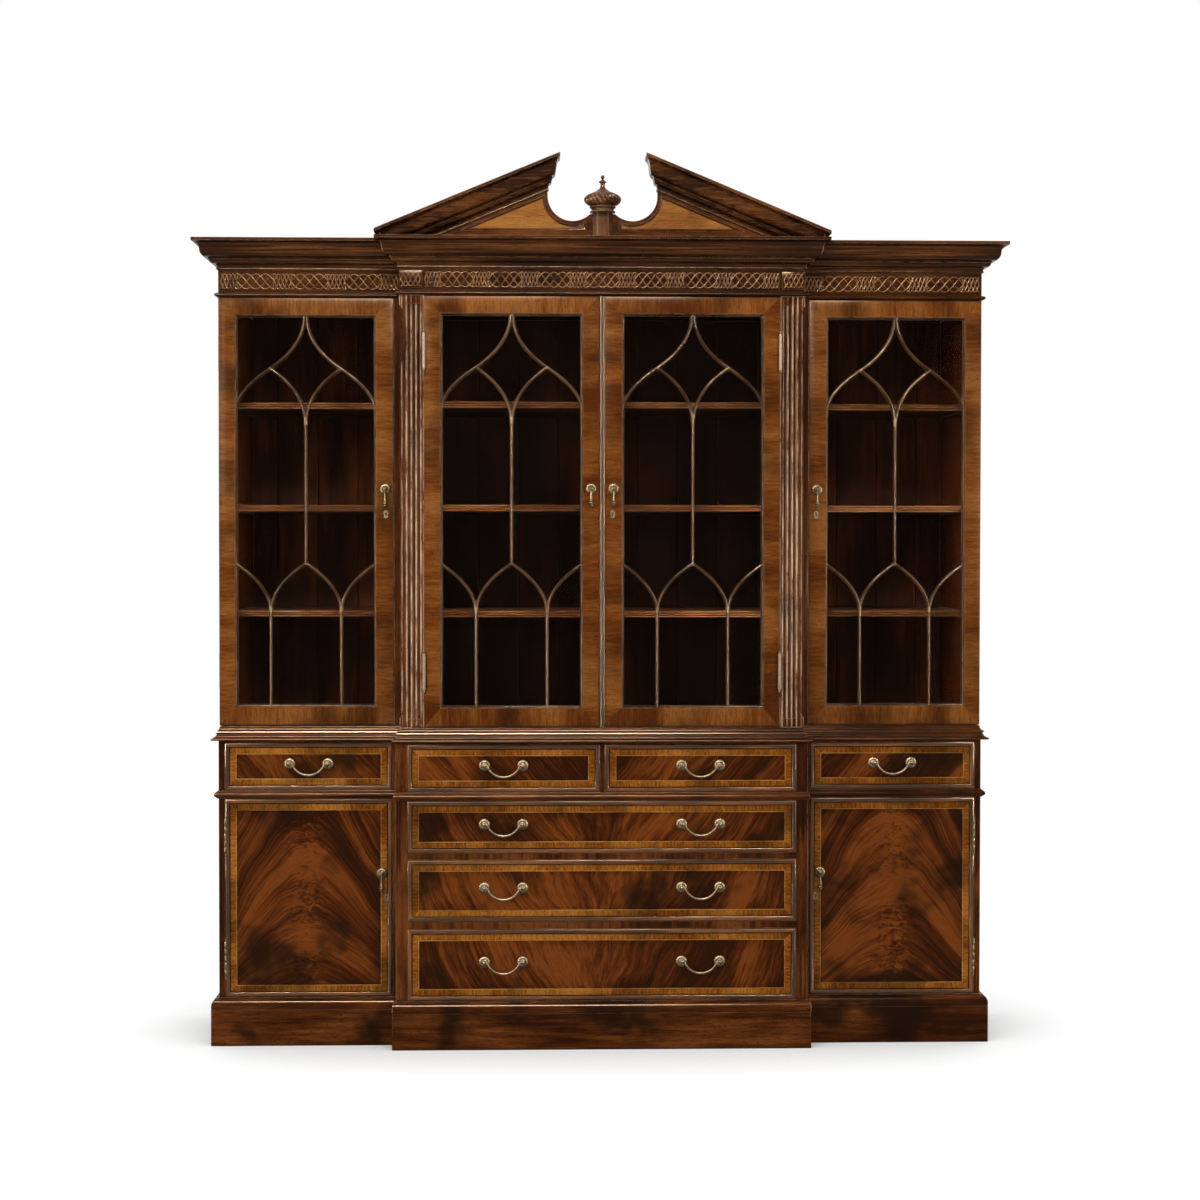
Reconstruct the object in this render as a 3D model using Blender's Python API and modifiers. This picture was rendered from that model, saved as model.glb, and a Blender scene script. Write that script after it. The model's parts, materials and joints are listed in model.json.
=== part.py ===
# Breakfront display cabinet: a glazed bookcase top with a broken pediment, on a base of drawers and cupboards.
# Metres, Z up. The front faces -Y, and the origin lies on the floor under the middle of the cabinet.
# The centre bay stands forward of the two wings, in the base and in the top alike.

import math

import bmesh
import bpy
from mathutils import Matrix, Vector

# Driving sizes of the whole
OVERALL_DEPTH = 0.484
BODY_WIDTH = 2.090
CENTRE_WIDTH = 1.098
BREAK = 0.063
BASE_WIDTH = 2.092
BASE_CENTRE_WIDTH = 1.120
BASE_STEP = 0.013

# Clearances
GAP = 0.0003
DOOR_GAP = 0.0015
MEETING_GAP = 0.002
DRAWER_GAP = 0.0012
DRAWER_SIDE_PLAY = 0.0015
DRAWER_TOP_PLAY = 0.004
DRAWER_BACK_PLAY = 0.012
GLASS_PLAY = 0.0004
BARREL_PLAY = 0.0006
PIN_PLAY = 0.0006
CHEEK_PLAY = 0.0006
OVERRUN = 0.005
SINK = 0.001

# Heights, from the floor up
PLINTH_HEIGHT = 0.1045
PLINTH_LIP_HEIGHT = 0.026
BASE_FLOOR = 0.0262
FOURTH_OPENING = 0.194
THIRD_RAIL = 0.021
THIRD_OPENING = 0.168
SECOND_RAIL = 0.018
SECOND_OPENING = 0.142
WAIST_RAIL = 0.024
SMALL_OPENING = 0.1295
TOP_RAIL = 0.006
SURBASE_HEIGHT = 0.038
UPPER_HEIGHT = 1.1706
FRIEZE_HEIGHT = 0.073
CORNICE_HEIGHT = 0.0797
PEDIMENT_HEIGHT = 0.222

# Projections of the mouldings
PLINTH_PROJECTION = 0.0205
SURBASE_PROJECTION = 0.0205
SURBASE_SETBACK = 0.003
WAIST_PROJECTION = 0.009
ASTRAGAL_PROJECTION = 0.011
CORNICE_PROJECTION = 0.064

# Upper carcass
UPPER_WALL = 0.046
UPPER_BOARD = 0.022
PILASTER_WIDTH = 0.065
PILASTER_DEPTH = 0.040
WING_STRIP = 0.0199
BACK_PANEL = 0.008
BACK_BOARD_WIDTH = 0.116
BACK_BOARD_JOINT = 0.003
CANT_WIDTH = 0.012
CANT_FOOT = 0.022
CANT_TONGUE = 0.024
FLUTE_RADIUS = 0.0052
FLUTE_DEPTH = 0.0035
FLUTE_PITCH = 0.013
FLUTE_COUNT = 3
FLUTE_FOOT = 0.023

# Shelves
SHELF_THICKNESS = 0.018
SHELF_SETBACK = 0.0415
SHELF_GROOVE = 0.007
SHELF_RISES = (0.276, 0.566, 0.847)
SHELF_REEDS = 3

# Glazed doors
DOOR_THICKNESS = 0.024
WING_DOOR_STILE = 0.0463
DOOR_TOP_RAIL = 0.046
DOOR_BOTTOM_RAIL = 0.0515
CENTRE_OUTER_STILE = 0.0435
CENTRE_GLASS_MARGIN = 0.0533
MEETING_BEAD = 0.0155
MEETING_BEAD_RISE = 0.004
SIGHT_BEAD = 0.007
SIGHT_SETBACK = 0.003
GLASS_SEAT = 0.014
GLASS_THICKNESS = 0.004
BAR_WIDTH = 0.012
BAR_SETBACK = 0.0034
BAR_BACK = 0.0139
POST_WIDTH = 0.0124
POST_SETBACK = 0.0032
BAR_TENON = 0.004
FOOT_INSET = 0.0005
OGEE_HEAD_RISE = 0.146
OGEE_FOOT_RISE = 0.122
INNER_ARC_RISE = 0.152
CENTRE_POST = 0.380
LOWER_ARCH_RISE = 0.132
ARC_SEGMENTS = 5

# Hinge barrels
BARREL_RADIUS = 0.005
BARREL_LENGTH = 0.096
BARREL_TIP = 0.008
BARREL_STEPS = 8
BARREL_OUTSIDE = 0.001
BARREL_PROUD = 0.003
DOOR_HINGE_INSET = 0.150
CUPBOARD_HINGE_INSET = 0.102

# Base carcass
BASE_STILE = 0.0316
BASE_INNER_STRIP = 0.0127
BASE_OUTER_STILE = 0.017
DIVIDER = 0.013
RAIL_DEPTH = 0.060
DUST_BOARD = 0.009
DOOR_STOP = 0.012
PLINTH_LEDGE = 0.040

# Drawers and cupboard doors
DRAWER_FRONT = 0.022
DRAWER_SIDE = 0.012
DRAWER_BOTTOM = 0.009
COCK_BEAD = 0.0105
COCK_BEAD_RISE = 0.004
CUPBOARD_DOOR = 0.022

# Bail handles
BAIL_CENTRES = 0.104
BAIL_DROP = 0.031
BAIL_RADIUS = 0.0031
BAIL_PIN_RADIUS = 0.0015
BAIL_REACH = 0.0125
BAIL_SEGMENTS = 8
ROSETTE_RADIUS = 0.0155
ROSETTE_STEPS = 10
PIN_STEPS = 6
POST_RADIUS = 0.0035
POST_BALL_RADIUS = 0.0044
WIDE_BAIL_PLACE = 0.268

# Drop pulls
DROP_LENGTH = 0.0485
DROP_COLLAR_RADIUS = 0.0058
DROP_ROD_RADIUS = 0.0031
DROP_PIN_RADIUS = 0.0013
DROP_REACH = 0.0105
DROP_KNOB_RADIUS = 0.0065
DROP_STEPS = 8
DOOR_PULL_RISE = 0.6485
DOOR_PULL_INSET = 0.0213
CUPBOARD_PULL_INSET = 0.029
CUPBOARD_PULL_RISE = 0.337

# Pediment
RAKE_FOOT_RISE = 0.016
RAKE_TIP_X = 0.115
RAKE_RETURN_DEPTH = 0.055
SCROLL_X = 0.081
SCROLL_RADIUS = 0.0675
SCROLL_RISE = 0.115
BOARD_THICKNESS = 0.022
BOARD_NECK_RISE = 0.066
BOARD_BELOW_RAKE = 0.002
PEDESTAL_HALF_WIDTH = 0.026
PEDESTAL_CANT = 0.011
PEDESTAL_HEIGHT = 0.069
PANEL_SINK = 0.003
PANEL_BORDER = 0.009
PANEL_BASE = 0.022
PANEL_CENTRE_EDGE = 0.045

# Frieze
ASTRAGAL_HEIGHT = 0.010
FRET_BLOCK_WIDTH = 0.062
FRET_BLOCK_RISE = 0.004
FRET_BLOCK_MARGIN = 0.008

# Finial
FINIAL_HEIGHT = 0.102
FINIAL_RADIUS = 0.0505
FINIAL_STEPS = 36
FINIAL_LOBES = 12

# Planes and levels that follow from those sizes
BACK_Y = OVERALL_DEPTH / 2
CENTRE_Y = CORNICE_PROJECTION - BACK_Y
WING_Y = CENTRE_Y + BREAK
BASE_CENTRE_Y = CENTRE_Y - BASE_STEP
BASE_WING_Y = WING_Y - BASE_STEP
CARCASS_BACK_Y = BACK_Y - BACK_PANEL - GAP
BODY_X = BODY_WIDTH / 2
CENTRE_X = CENTRE_WIDTH / 2
BASE_X = BASE_WIDTH / 2
BASE_CENTRE_X = BASE_CENTRE_WIDTH / 2

BASE_FOOT_Z = PLINTH_HEIGHT + GAP
FOURTH_Z = BASE_FOOT_Z + BASE_FLOOR
THIRD_Z = FOURTH_Z + FOURTH_OPENING + THIRD_RAIL
SECOND_Z = THIRD_Z + THIRD_OPENING + SECOND_RAIL
WAIST_Z = SECOND_Z + SECOND_OPENING
SMALL_Z = WAIST_Z + WAIST_RAIL
BASE_HEAD_Z = SMALL_Z + SMALL_OPENING + TOP_RAIL
SURBASE_Z = BASE_HEAD_Z + GAP
UPPER_FOOT_Z = SURBASE_Z + SURBASE_HEIGHT + GAP
UPPER_HEAD_Z = UPPER_FOOT_Z + UPPER_HEIGHT
FRIEZE_Z = UPPER_HEAD_Z + GAP
CORNICE_Z = FRIEZE_Z + FRIEZE_HEIGHT + GAP
PEDIMENT_Z = CORNICE_Z + CORNICE_HEIGHT + GAP
PEDIMENT_TIP_Z = PEDIMENT_Z + PEDIMENT_HEIGHT
RAKE_FOOT_X = CENTRE_X + CORNICE_PROJECTION
RAKE_FOOT_Z = PEDIMENT_Z + RAKE_FOOT_RISE
RAKE_SLOPE = (PEDIMENT_TIP_Z - RAKE_FOOT_Z) / (RAKE_FOOT_X - RAKE_TIP_X)

# Profiles, from the foot up, as shares of the moulding's projection and height.
# Each entry is a kind of curve and the point where it ends.
CORNICE_SHARES = (
    ("from", 0.05, 0.0),
    ("bead", 0.05, 0.07),
    ("line", 0.05, 0.09),
    ("hollow", 0.14, 0.19),
    ("line", 0.18, 0.19),
    ("round", 0.33, 0.30),
    ("bead", 0.36, 0.36),
    ("line", 0.43, 0.38),
    ("ogee", 0.96, 0.88),
    ("line", 1.0, 0.89),
    ("line", 1.0, 1.0),
)
PLINTH_LIP_SHARES = (("from", 1.0, -0.16), ("line", 0.95, -0.12), ("line", 1.0, -0.06), ("hollow", 0.16, 1.0))
SURBASE_SHARES = (
    ("from", 0.82, 0.0),
    ("line", 0.96, 0.04),
    ("line", 1.0, 0.10),
    ("line", 0.90, 0.17),
    ("round", 0.40, 0.39),
    ("line", 0.27, 0.40),
    ("line", 0.27, 0.51),
    ("line", 0.40, 0.53),
    ("line", 0.44, 0.59),
    ("line", 0.38, 0.66),
    ("round", -0.10, 1.0),
)
WAIST_SHARES = (("from", 0.35, 0.08), ("bead", 0.35, 0.92))
ASTRAGAL_SHARES = (("from", 0.60, 0.0), ("bead", 0.60, 1.0), ("line", 0.0, 1.1))
BEAD_SWELL_SHARE = 0.45
BREAK_PROJECTION_SHARE = 0.46
# A cock bead's rounded face: how far each facet runs inwards and forwards, as shares of its width and rise.
COCK_BEAD_SHARES = ((0.22, 0.55), (0.56, 0.0), (0.22, -0.55))
COCK_BEAD_SHOULDER_SHARE = 0.45
BEAD_STEPS = 3
CURVE_STEPS = 3

# Turned profiles, from the top down, as shares of the radius and the height
FINIAL_SHARES = (
    (0.0, 1.0),
    (0.10, 0.94),
    (0.05, 0.885),
    (0.22, 0.81),
    (0.12, 0.765),
    (0.15, 0.66),
    (0.24, 0.60),
    (0.72, 0.50),
    (0.93, 0.43),
    (1.0, 0.35),
    (0.92, 0.26),
    (0.57, 0.165),
    (0.62, 0.10),
    (0.57, 0.05),
    (0.60, 0.0),
    (0.0, 0.0),
)
FINIAL_LOBE_SPAN_SHARES = (0.18, 0.56)
FINIAL_LOBE_SHARE = 0.035
FINIAL_TWIST_SHARE = 0.12
DROP_SHARES = (
    (0.0, 0.055),
    (0.50, 0.0),
    (0.50, -0.62),
    (0.76, -0.69),
    (0.55, -0.745),
    (1.0, -0.80),
    (0.45, -0.86),
    (0.68, -0.92),
    (0.0, -1.0),
)

# The two lower posts, as shares of the door opening's width, and the slope of a glazing arc at its crown
LOWER_POST_SHARES = (0.25, 0.75)
CROWN_SLOPE_SHARE = 0.66


def clear_scene():
    for item in list(bpy.data.objects):
        bpy.data.objects.remove(item, do_unlink=True)
    for group in list(bpy.data.collections):
        bpy.data.collections.remove(group)


def make_collection(name):
    group = bpy.data.collections.new(name)
    bpy.context.scene.collection.children.link(group)
    return group


def finish(name, colour, roughness, metallic=0.0, transmission=0.0):
    material = bpy.data.materials.new(name)
    material.use_nodes = True
    shader = material.node_tree.nodes["Principled BSDF"]
    shader.inputs["Base Color"].default_value = (*colour, 1.0)
    shader.inputs["Roughness"].default_value = roughness
    shader.inputs["Metallic"].default_value = metallic
    shader.inputs["Transmission Weight"].default_value = transmission
    material.diffuse_color = (*colour, 1.0)
    return material


clear_scene()
cabinet = make_collection("display_cabinet")
cutters = make_collection("cutters")

mahogany = finish("mahogany", (0.130, 0.040, 0.015), 0.32)
feathered_mahogany = finish("feathered_mahogany", (0.180, 0.055, 0.018), 0.28)
door_mahogany = finish("door_mahogany", (0.220, 0.085, 0.028), 0.30)
inside_mahogany = finish("inside_mahogany", (0.110, 0.040, 0.018), 0.55)
back_board_oak = finish("back_board_oak", (0.200, 0.090, 0.040), 0.60)
antique_brass = finish("antique_brass", (0.520, 0.430, 0.240), 0.35, metallic=1.0)
window_glass = finish("window_glass", (0.950, 0.970, 0.960), 0.03, transmission=1.0)


# Helpers that make, place, cut and join solids


def add_object(name, mesh, material):
    item = bpy.data.objects.new(name, mesh)
    item.data.materials.append(material)
    cabinet.objects.link(item)
    return item


def mesh_from(name, builder):
    mesh = bpy.data.meshes.new(name)
    builder.to_mesh(mesh)
    builder.free()
    return mesh


def box(name, low, high, material):
    """A board between two corners."""
    size = Vector(high) - Vector(low)
    middle = (Vector(high) + Vector(low)) / 2
    builder = bmesh.new()
    bmesh.ops.create_cube(builder, size=1.0, matrix=Matrix.Translation(middle) @ Matrix.Diagonal((*size, 1.0)))
    return add_object(name, mesh_from(name, builder), material)


def make_helper(item):
    """Keeps a solid for cutting or joining only."""
    cabinet.objects.unlink(item)
    cutters.objects.link(item)
    item.hide_render = True
    item.display_type = "WIRE"
    return item


def follow(child, parent):
    """Parents the child where it stands."""
    child.parent = parent
    child.matrix_parent_inverse = Matrix.Translation(-parent.location)


def hang(item, pivot):
    """Moves the origin of a piece to its joint's axis and leaves its shape in place."""
    item.data.transform(Matrix.Translation(-Vector(pivot)))
    item.location = pivot


def combine(target, tool, operation):
    make_helper(tool)
    follow(tool, target)
    step = target.modifiers.new(tool.name, "BOOLEAN")
    step.operation = operation
    step.solver = "EXACT"
    step.object = tool


def cut(target, tool):
    combine(target, tool, "DIFFERENCE")


def join(target, tool):
    combine(target, tool, "UNION")


def cut_box(target, low, high):
    cut(target, box(target.name + "_hollow", low, high, mahogany))


def smooth_round(item, limit=math.radians(35)):
    item.data.shade_smooth()
    item.data.set_sharp_from_angle(angle=limit)


def turned(name, profile, steps, place, material, facing="up"):
    """Spins a profile, given as radius and height from the top down, about its own axis."""
    builder = bmesh.new()
    corners = [builder.verts.new((radius, 0, height)) for radius, height in profile]
    for first, second in zip(corners, corners[1:]):
        builder.edges.new((first, second))
    item = add_object(name, mesh_from(name, builder), material)
    spin = item.modifiers.new("spin", "SCREW")
    spin.steps = steps
    spin.render_steps = steps
    spin.use_merge_vertices = True
    spin.merge_threshold = 0.0001
    spin.use_smooth_shade = True
    item.location = place
    if facing == "front":
        item.rotation_euler = (math.radians(90), 0, 0)
    if facing == "side":
        item.rotation_euler = (0, math.radians(90), 0)
    return item


def rod(name, radius, start, length, steps, material, facing="up"):
    """A plain round bar from a point along its facing."""
    profile = ((0, length), (radius, length), (radius, 0), (0, 0))
    return turned(name, profile, steps, start, material, facing)


def face_outwards(builder):
    bmesh.ops.recalc_face_normals(builder, faces=builder.faces)
    if builder.calc_volume(signed=True) < 0:
        bmesh.ops.reverse_faces(builder, faces=builder.faces)


def loft(name, rings, material, closed_ring=True, closed_section=False):
    """Joins rings of points to a solid. An open stack of rings is capped, and so is an open ring."""
    builder = bmesh.new()
    rows = [[builder.verts.new(point) for point in ring] for ring in rings]
    count = len(rows[0])
    pairs = list(zip(rows, rows[1:]))
    if closed_section:
        pairs.append((rows[-1], rows[0]))
    for lower, upper in pairs:
        for here in range(count if closed_ring else count - 1):
            after = (here + 1) % count
            builder.faces.new((lower[here], lower[after], upper[after], upper[here]))
    if not closed_section:
        builder.faces.new(rows[0])
        builder.faces.new(rows[-1])
    if not closed_ring:
        builder.faces.new([row[0] for row in rows])
        builder.faces.new([row[-1] for row in rows])
    face_outwards(builder)
    return add_object(name, mesh_from(name, builder), material)


def sink_face(item, direction, insets, depth):
    """Insets the face that looks along a direction, in steps of width and rise, then pushes its middle in."""
    builder = bmesh.new()
    builder.from_mesh(item.data)
    face = max(builder.faces, key=lambda candidate: candidate.normal.dot(Vector(direction)))
    for width, rise in insets:
        bmesh.ops.inset_individual(builder, faces=[face], thickness=width, depth=rise)
    pushed = bmesh.ops.extrude_face_region(builder, geom=[face])["geom"]
    points = [part for part in pushed if isinstance(part, bmesh.types.BMVert)]
    bmesh.ops.translate(builder, verts=points, vec=-Vector(direction) * depth)
    if face.is_valid:
        bmesh.ops.delete(builder, geom=[face], context="FACES_ONLY")
    face_outwards(builder)
    builder.to_mesh(item.data)
    builder.free()


def bead_shoulder():
    """How far the straight side of a cock bead stands in front of the field."""
    return COCK_BEAD_RISE * COCK_BEAD_SHOULDER_SHARE


def raise_cock_bead(item):
    """Shapes the front's edge to a rounded bead, with the field sunk behind it."""
    facets = [(COCK_BEAD * inwards, COCK_BEAD_RISE * forwards) for inwards, forwards in COCK_BEAD_SHARES]
    sink_face(item, (0, -1, 0), facets, bead_shoulder())


# Moulding profiles


def quarter(start, end, hollow):
    """A quarter of an ellipse that bulges out, or with hollow set curves in."""
    points = []
    for step in range(1, CURVE_STEPS + 1):
        angle = math.pi / 2 * step / CURVE_STEPS
        slow, fast = 1 - math.cos(angle), math.sin(angle)
        across, along = (slow, fast) if hollow else (fast, slow)
        points.append((start[0] + (end[0] - start[0]) * across, start[1] + (end[1] - start[1]) * along))
    return points


def moulding(shares, projection, height):
    """The points of a profile, as projection and height, from its table of shares."""
    points = []
    for kind, out_share, up_share in shares:
        end = (out_share * projection, up_share * height)
        if kind in ("from", "line"):
            points.append(end)
            continue
        start = points[-1]
        middle = ((start[0] + end[0]) / 2, (start[1] + end[1]) / 2)
        if kind == "step":
            points += [(end[0], start[1]), end]
        elif kind == "round":
            points += quarter(start, end, hollow=False)
        elif kind == "hollow":
            points += quarter(start, end, hollow=True)
        elif kind == "ogee":
            points += quarter(start, middle, hollow=False) + quarter(middle, end, hollow=True)
        elif kind == "bead":
            swell = abs(end[1] - start[1]) * BEAD_SWELL_SHARE
            for step in range(1, BEAD_STEPS + 1):
                turn = step / BEAD_STEPS
                bulge = swell * math.sin(math.pi * turn)
                points.append((start[0] + (end[0] - start[0]) * turn + bulge, start[1] + (end[1] - start[1]) * turn))
    return points


def breakfront(offset, level, body_x, centre_x, wing_y, centre_y, break_offset=None):
    """The plan outline of one stage at one level, set out or in by an offset, which may differ at the break."""
    back = BACK_Y + min(offset, 0)
    break_x = centre_x + (offset if break_offset is None else break_offset)
    plan = (
        (-body_x - offset, back),
        (-body_x - offset, wing_y - offset),
        (-break_x, wing_y - offset),
        (-break_x, centre_y - offset),
        (break_x, centre_y - offset),
        (break_x, wing_y - offset),
        (body_x + offset, wing_y - offset),
        (body_x + offset, back),
    )
    return [(x, y, level) for x, y in plan]


def upper_outline(offset, level):
    return breakfront(offset, level, BODY_X, CENTRE_X, WING_Y, CENTRE_Y)


def base_outline(offset, level):
    """The base's mouldings stand out less at the sides of the centre bay than elsewhere."""
    break_offset = offset * BREAK_PROJECTION_SHARE if offset > GAP else offset
    return breakfront(offset, level, BASE_X, BASE_CENTRE_X, BASE_WING_Y, BASE_CENTRE_Y, break_offset)


def surbase_outline(offset, level):
    """The surbase follows the upper stage's plan, far enough forward to cover the base."""
    wing_y = BASE_WING_Y + SURBASE_SETBACK
    centre_y = BASE_CENTRE_Y + SURBASE_SETBACK
    return breakfront(offset, level, BODY_X, CENTRE_X, wing_y, centre_y)


# Plinth, waist, surbase, frieze and cornice


def make_plinth():
    """A frame on the floor. The base stands on its ledge, inside the moulded lip."""
    lip = moulding(PLINTH_LIP_SHARES, PLINTH_PROJECTION, PLINTH_LIP_HEIGHT)
    section = [(PLINTH_PROJECTION, 0)]
    section += [(out, PLINTH_HEIGHT + up) for out, up in lip]
    section += [
        (GAP, PLINTH_HEIGHT + PLINTH_LIP_HEIGHT),
        (GAP, PLINTH_HEIGHT),
        (-PLINTH_LEDGE, PLINTH_HEIGHT),
        (-PLINTH_LEDGE, 0),
    ]
    rings = [base_outline(out, up) for out, up in section]
    return loft("plinth", rings, mahogany, closed_section=True)


def make_waist_moulding():
    """A bead planted round the rail under the top drawers, open at the back."""
    face = moulding(WAIST_SHARES, WAIST_PROJECTION, WAIST_RAIL)
    section = [(GAP, face[0][1])] + face + [(GAP, face[-1][1])]
    rings = [base_outline(out, WAIST_Z + up) for out, up in section]
    return loft("waist_moulding", rings, mahogany, closed_ring=False, closed_section=True)


def make_surbase():
    """The board on top of the base, with two moulded edges and a groove between them."""
    section = moulding(SURBASE_SHARES, SURBASE_PROJECTION, SURBASE_HEIGHT)
    rings = [surbase_outline(out, SURBASE_Z + up) for out, up in section]
    return loft("surbase_top", rings, mahogany)


def make_frieze():
    """The frieze stands on the three carcasses, with a bead at its foot and a block over each pilaster."""
    bead = moulding(ASTRAGAL_SHARES, ASTRAGAL_PROJECTION, ASTRAGAL_HEIGHT)
    section = [(out, FRIEZE_Z + up) for out, up in bead]
    section += [
        (0, FRIEZE_Z + FRIEZE_HEIGHT),
        (-UPPER_BOARD, FRIEZE_Z + FRIEZE_HEIGHT),
        (-UPPER_BOARD, FRIEZE_Z),
    ]
    frieze = loft("frieze", [upper_outline(out, up) for out, up in section], mahogany, closed_section=True)
    for side in (-1, 1):
        edges = mirrored(side, CENTRE_X - FRET_BLOCK_WIDTH, CENTRE_X)
        low = (edges[0], CENTRE_Y - FRET_BLOCK_RISE, FRIEZE_Z + ASTRAGAL_HEIGHT + FRET_BLOCK_MARGIN)
        high = (edges[1], CENTRE_Y + SINK, FRIEZE_Z + FRIEZE_HEIGHT - FRET_BLOCK_MARGIN)
        join(frieze, box("fret_block", low, high, mahogany))
    return frieze


def make_cornice():
    """The mitred cornice carries its own dust board and is hollow from below."""
    face = moulding(CORNICE_SHARES, CORNICE_PROJECTION, CORNICE_HEIGHT)
    section = [(-UPPER_BOARD, CORNICE_Z + CORNICE_HEIGHT - DUST_BOARD), (-UPPER_BOARD, CORNICE_Z)]
    section += [(out, CORNICE_Z + up) for out, up in face]
    return loft("cornice", [upper_outline(out, up) for out, up in section], mahogany)


# Upper carcasses


def shelf_levels():
    return [UPPER_FOOT_Z + UPPER_BOARD + rise for rise in SHELF_RISES]


def cut_shelf_grooves(carcass, inside_low, inside_high, front_y):
    """One groove for each shelf across both walls, open at the back."""
    for level in shelf_levels():
        low = (inside_low - SHELF_GROOVE, front_y + SHELF_SETBACK - GAP, level - GAP)
        high = (inside_high + SHELF_GROOVE, CARCASS_BACK_Y + OVERRUN, level + SHELF_THICKNESS + GAP)
        cut_box(carcass, low, high)


def barrel_levels(foot, head, inset):
    """The foot of each of a door's two hinge barrels."""
    return (foot + inset - BARREL_LENGTH / 2, head - inset - BARREL_LENGTH / 2)


def cut_barrel_notches(carcass, axis, foot, head, inset):
    for level in barrel_levels(foot, head, inset):
        start = (axis[0], axis[1], level - BARREL_TIP - BARREL_PLAY)
        length = BARREL_LENGTH + 2 * (BARREL_TIP + BARREL_PLAY)
        cut(carcass, rod("barrel_notch", BARREL_RADIUS + BARREL_PLAY, start, length, BARREL_STEPS, mahogany))


def door_foot():
    return UPPER_FOOT_Z + DOOR_GAP


def door_head():
    return UPPER_HEAD_Z - DOOR_GAP


def wing_hinge_axis(side):
    return (side * (BODY_X + BARREL_OUTSIDE), WING_Y + DOOR_THICKNESS + DOOR_GAP / 2)


def centre_hinge_axis(side):
    return (side * (CENTRE_X - PILASTER_WIDTH - DOOR_GAP / 2), CENTRE_Y - BARREL_PROUD)


def wing_inside():
    """The inner faces of a wing's two walls, as distances from the middle."""
    return (CENTRE_X + GAP + UPPER_WALL, BODY_X - UPPER_WALL)


def mirrored(side, near, far):
    return sorted((side * near, side * far))


def make_wing_carcass(name, side):
    """Two grooved walls with a top and a bottom. A strip beside the pilaster comes forward to the door's face."""
    outer = mirrored(side, CENTRE_X + GAP, BODY_X)
    front = WING_Y + DOOR_THICKNESS + DOOR_GAP
    carcass = box(name, (outer[0], front, UPPER_FOOT_Z), (outer[1], CARCASS_BACK_Y, UPPER_HEAD_Z), mahogany)
    strip = mirrored(side, CENTRE_X + GAP, CENTRE_X + GAP + WING_STRIP)
    strip_low = (strip[0], WING_Y + SINK, UPPER_FOOT_Z)
    strip_high = (strip[1], front + SINK, UPPER_HEAD_Z)
    join(carcass, box("wing_strip", strip_low, strip_high, mahogany))
    inside = mirrored(side, *wing_inside())
    hollow_low = (inside[0], front - OVERRUN, UPPER_FOOT_Z + UPPER_BOARD)
    hollow_high = (inside[1], CARCASS_BACK_Y + OVERRUN, UPPER_HEAD_Z - UPPER_BOARD)
    cut_box(carcass, hollow_low, hollow_high)
    cut_shelf_grooves(carcass, inside[0], inside[1], WING_Y)
    cut_barrel_notches(carcass, wing_hinge_axis(side), door_foot(), door_head(), DOOR_HINGE_INSET)
    return carcass


def cant_cutter(side):
    """A wedge along the pilaster's outer corner, which runs out at each end in a lamb's tongue."""
    foot = UPPER_FOOT_Z + CANT_FOOT
    head = UPPER_HEAD_Z - CANT_FOOT
    stations = []
    for step in range(CURVE_STEPS + 1):
        share = step / CURVE_STEPS
        width = -OVERRUN + (CANT_WIDTH + OVERRUN) * math.sin(math.pi / 2 * share)
        stations.append((foot + CANT_TONGUE * share, width))
    stations += [(foot + head - level, width) for level, width in reversed(stations)]
    rings = []
    for level, width in stations:
        near = side * (CENTRE_X - width - OVERRUN)
        far = side * (CENTRE_X + 2 * OVERRUN)
        rings.append(
            [
                (near, CENTRE_Y - OVERRUN, level),
                (far, CENTRE_Y + width + 2 * OVERRUN, level),
                (far, CENTRE_Y - OVERRUN, level),
            ]
        )
    return loft("cant", rings, mahogany)


def flute_cutter(x):
    """A round-ended gouge for one flute."""
    foot = UPPER_FOOT_Z + FLUTE_FOOT
    length = UPPER_HEIGHT - 2 * FLUTE_FOOT
    dome = []
    for step in range(CURVE_STEPS + 1):
        angle = math.pi / 2 * step / CURVE_STEPS
        dome.append((FLUTE_RADIUS * math.sin(angle), FLUTE_RADIUS * math.cos(angle)))
    profile = [(radius, length - FLUTE_RADIUS + rise) for radius, rise in dome]
    profile += [(radius, FLUTE_RADIUS - rise) for radius, rise in reversed(dome)]
    axis_y = CENTRE_Y - FLUTE_RADIUS + FLUTE_DEPTH
    return turned("flute", profile, 2 * ARC_SEGMENTS, (x, axis_y, foot), mahogany)


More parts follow.
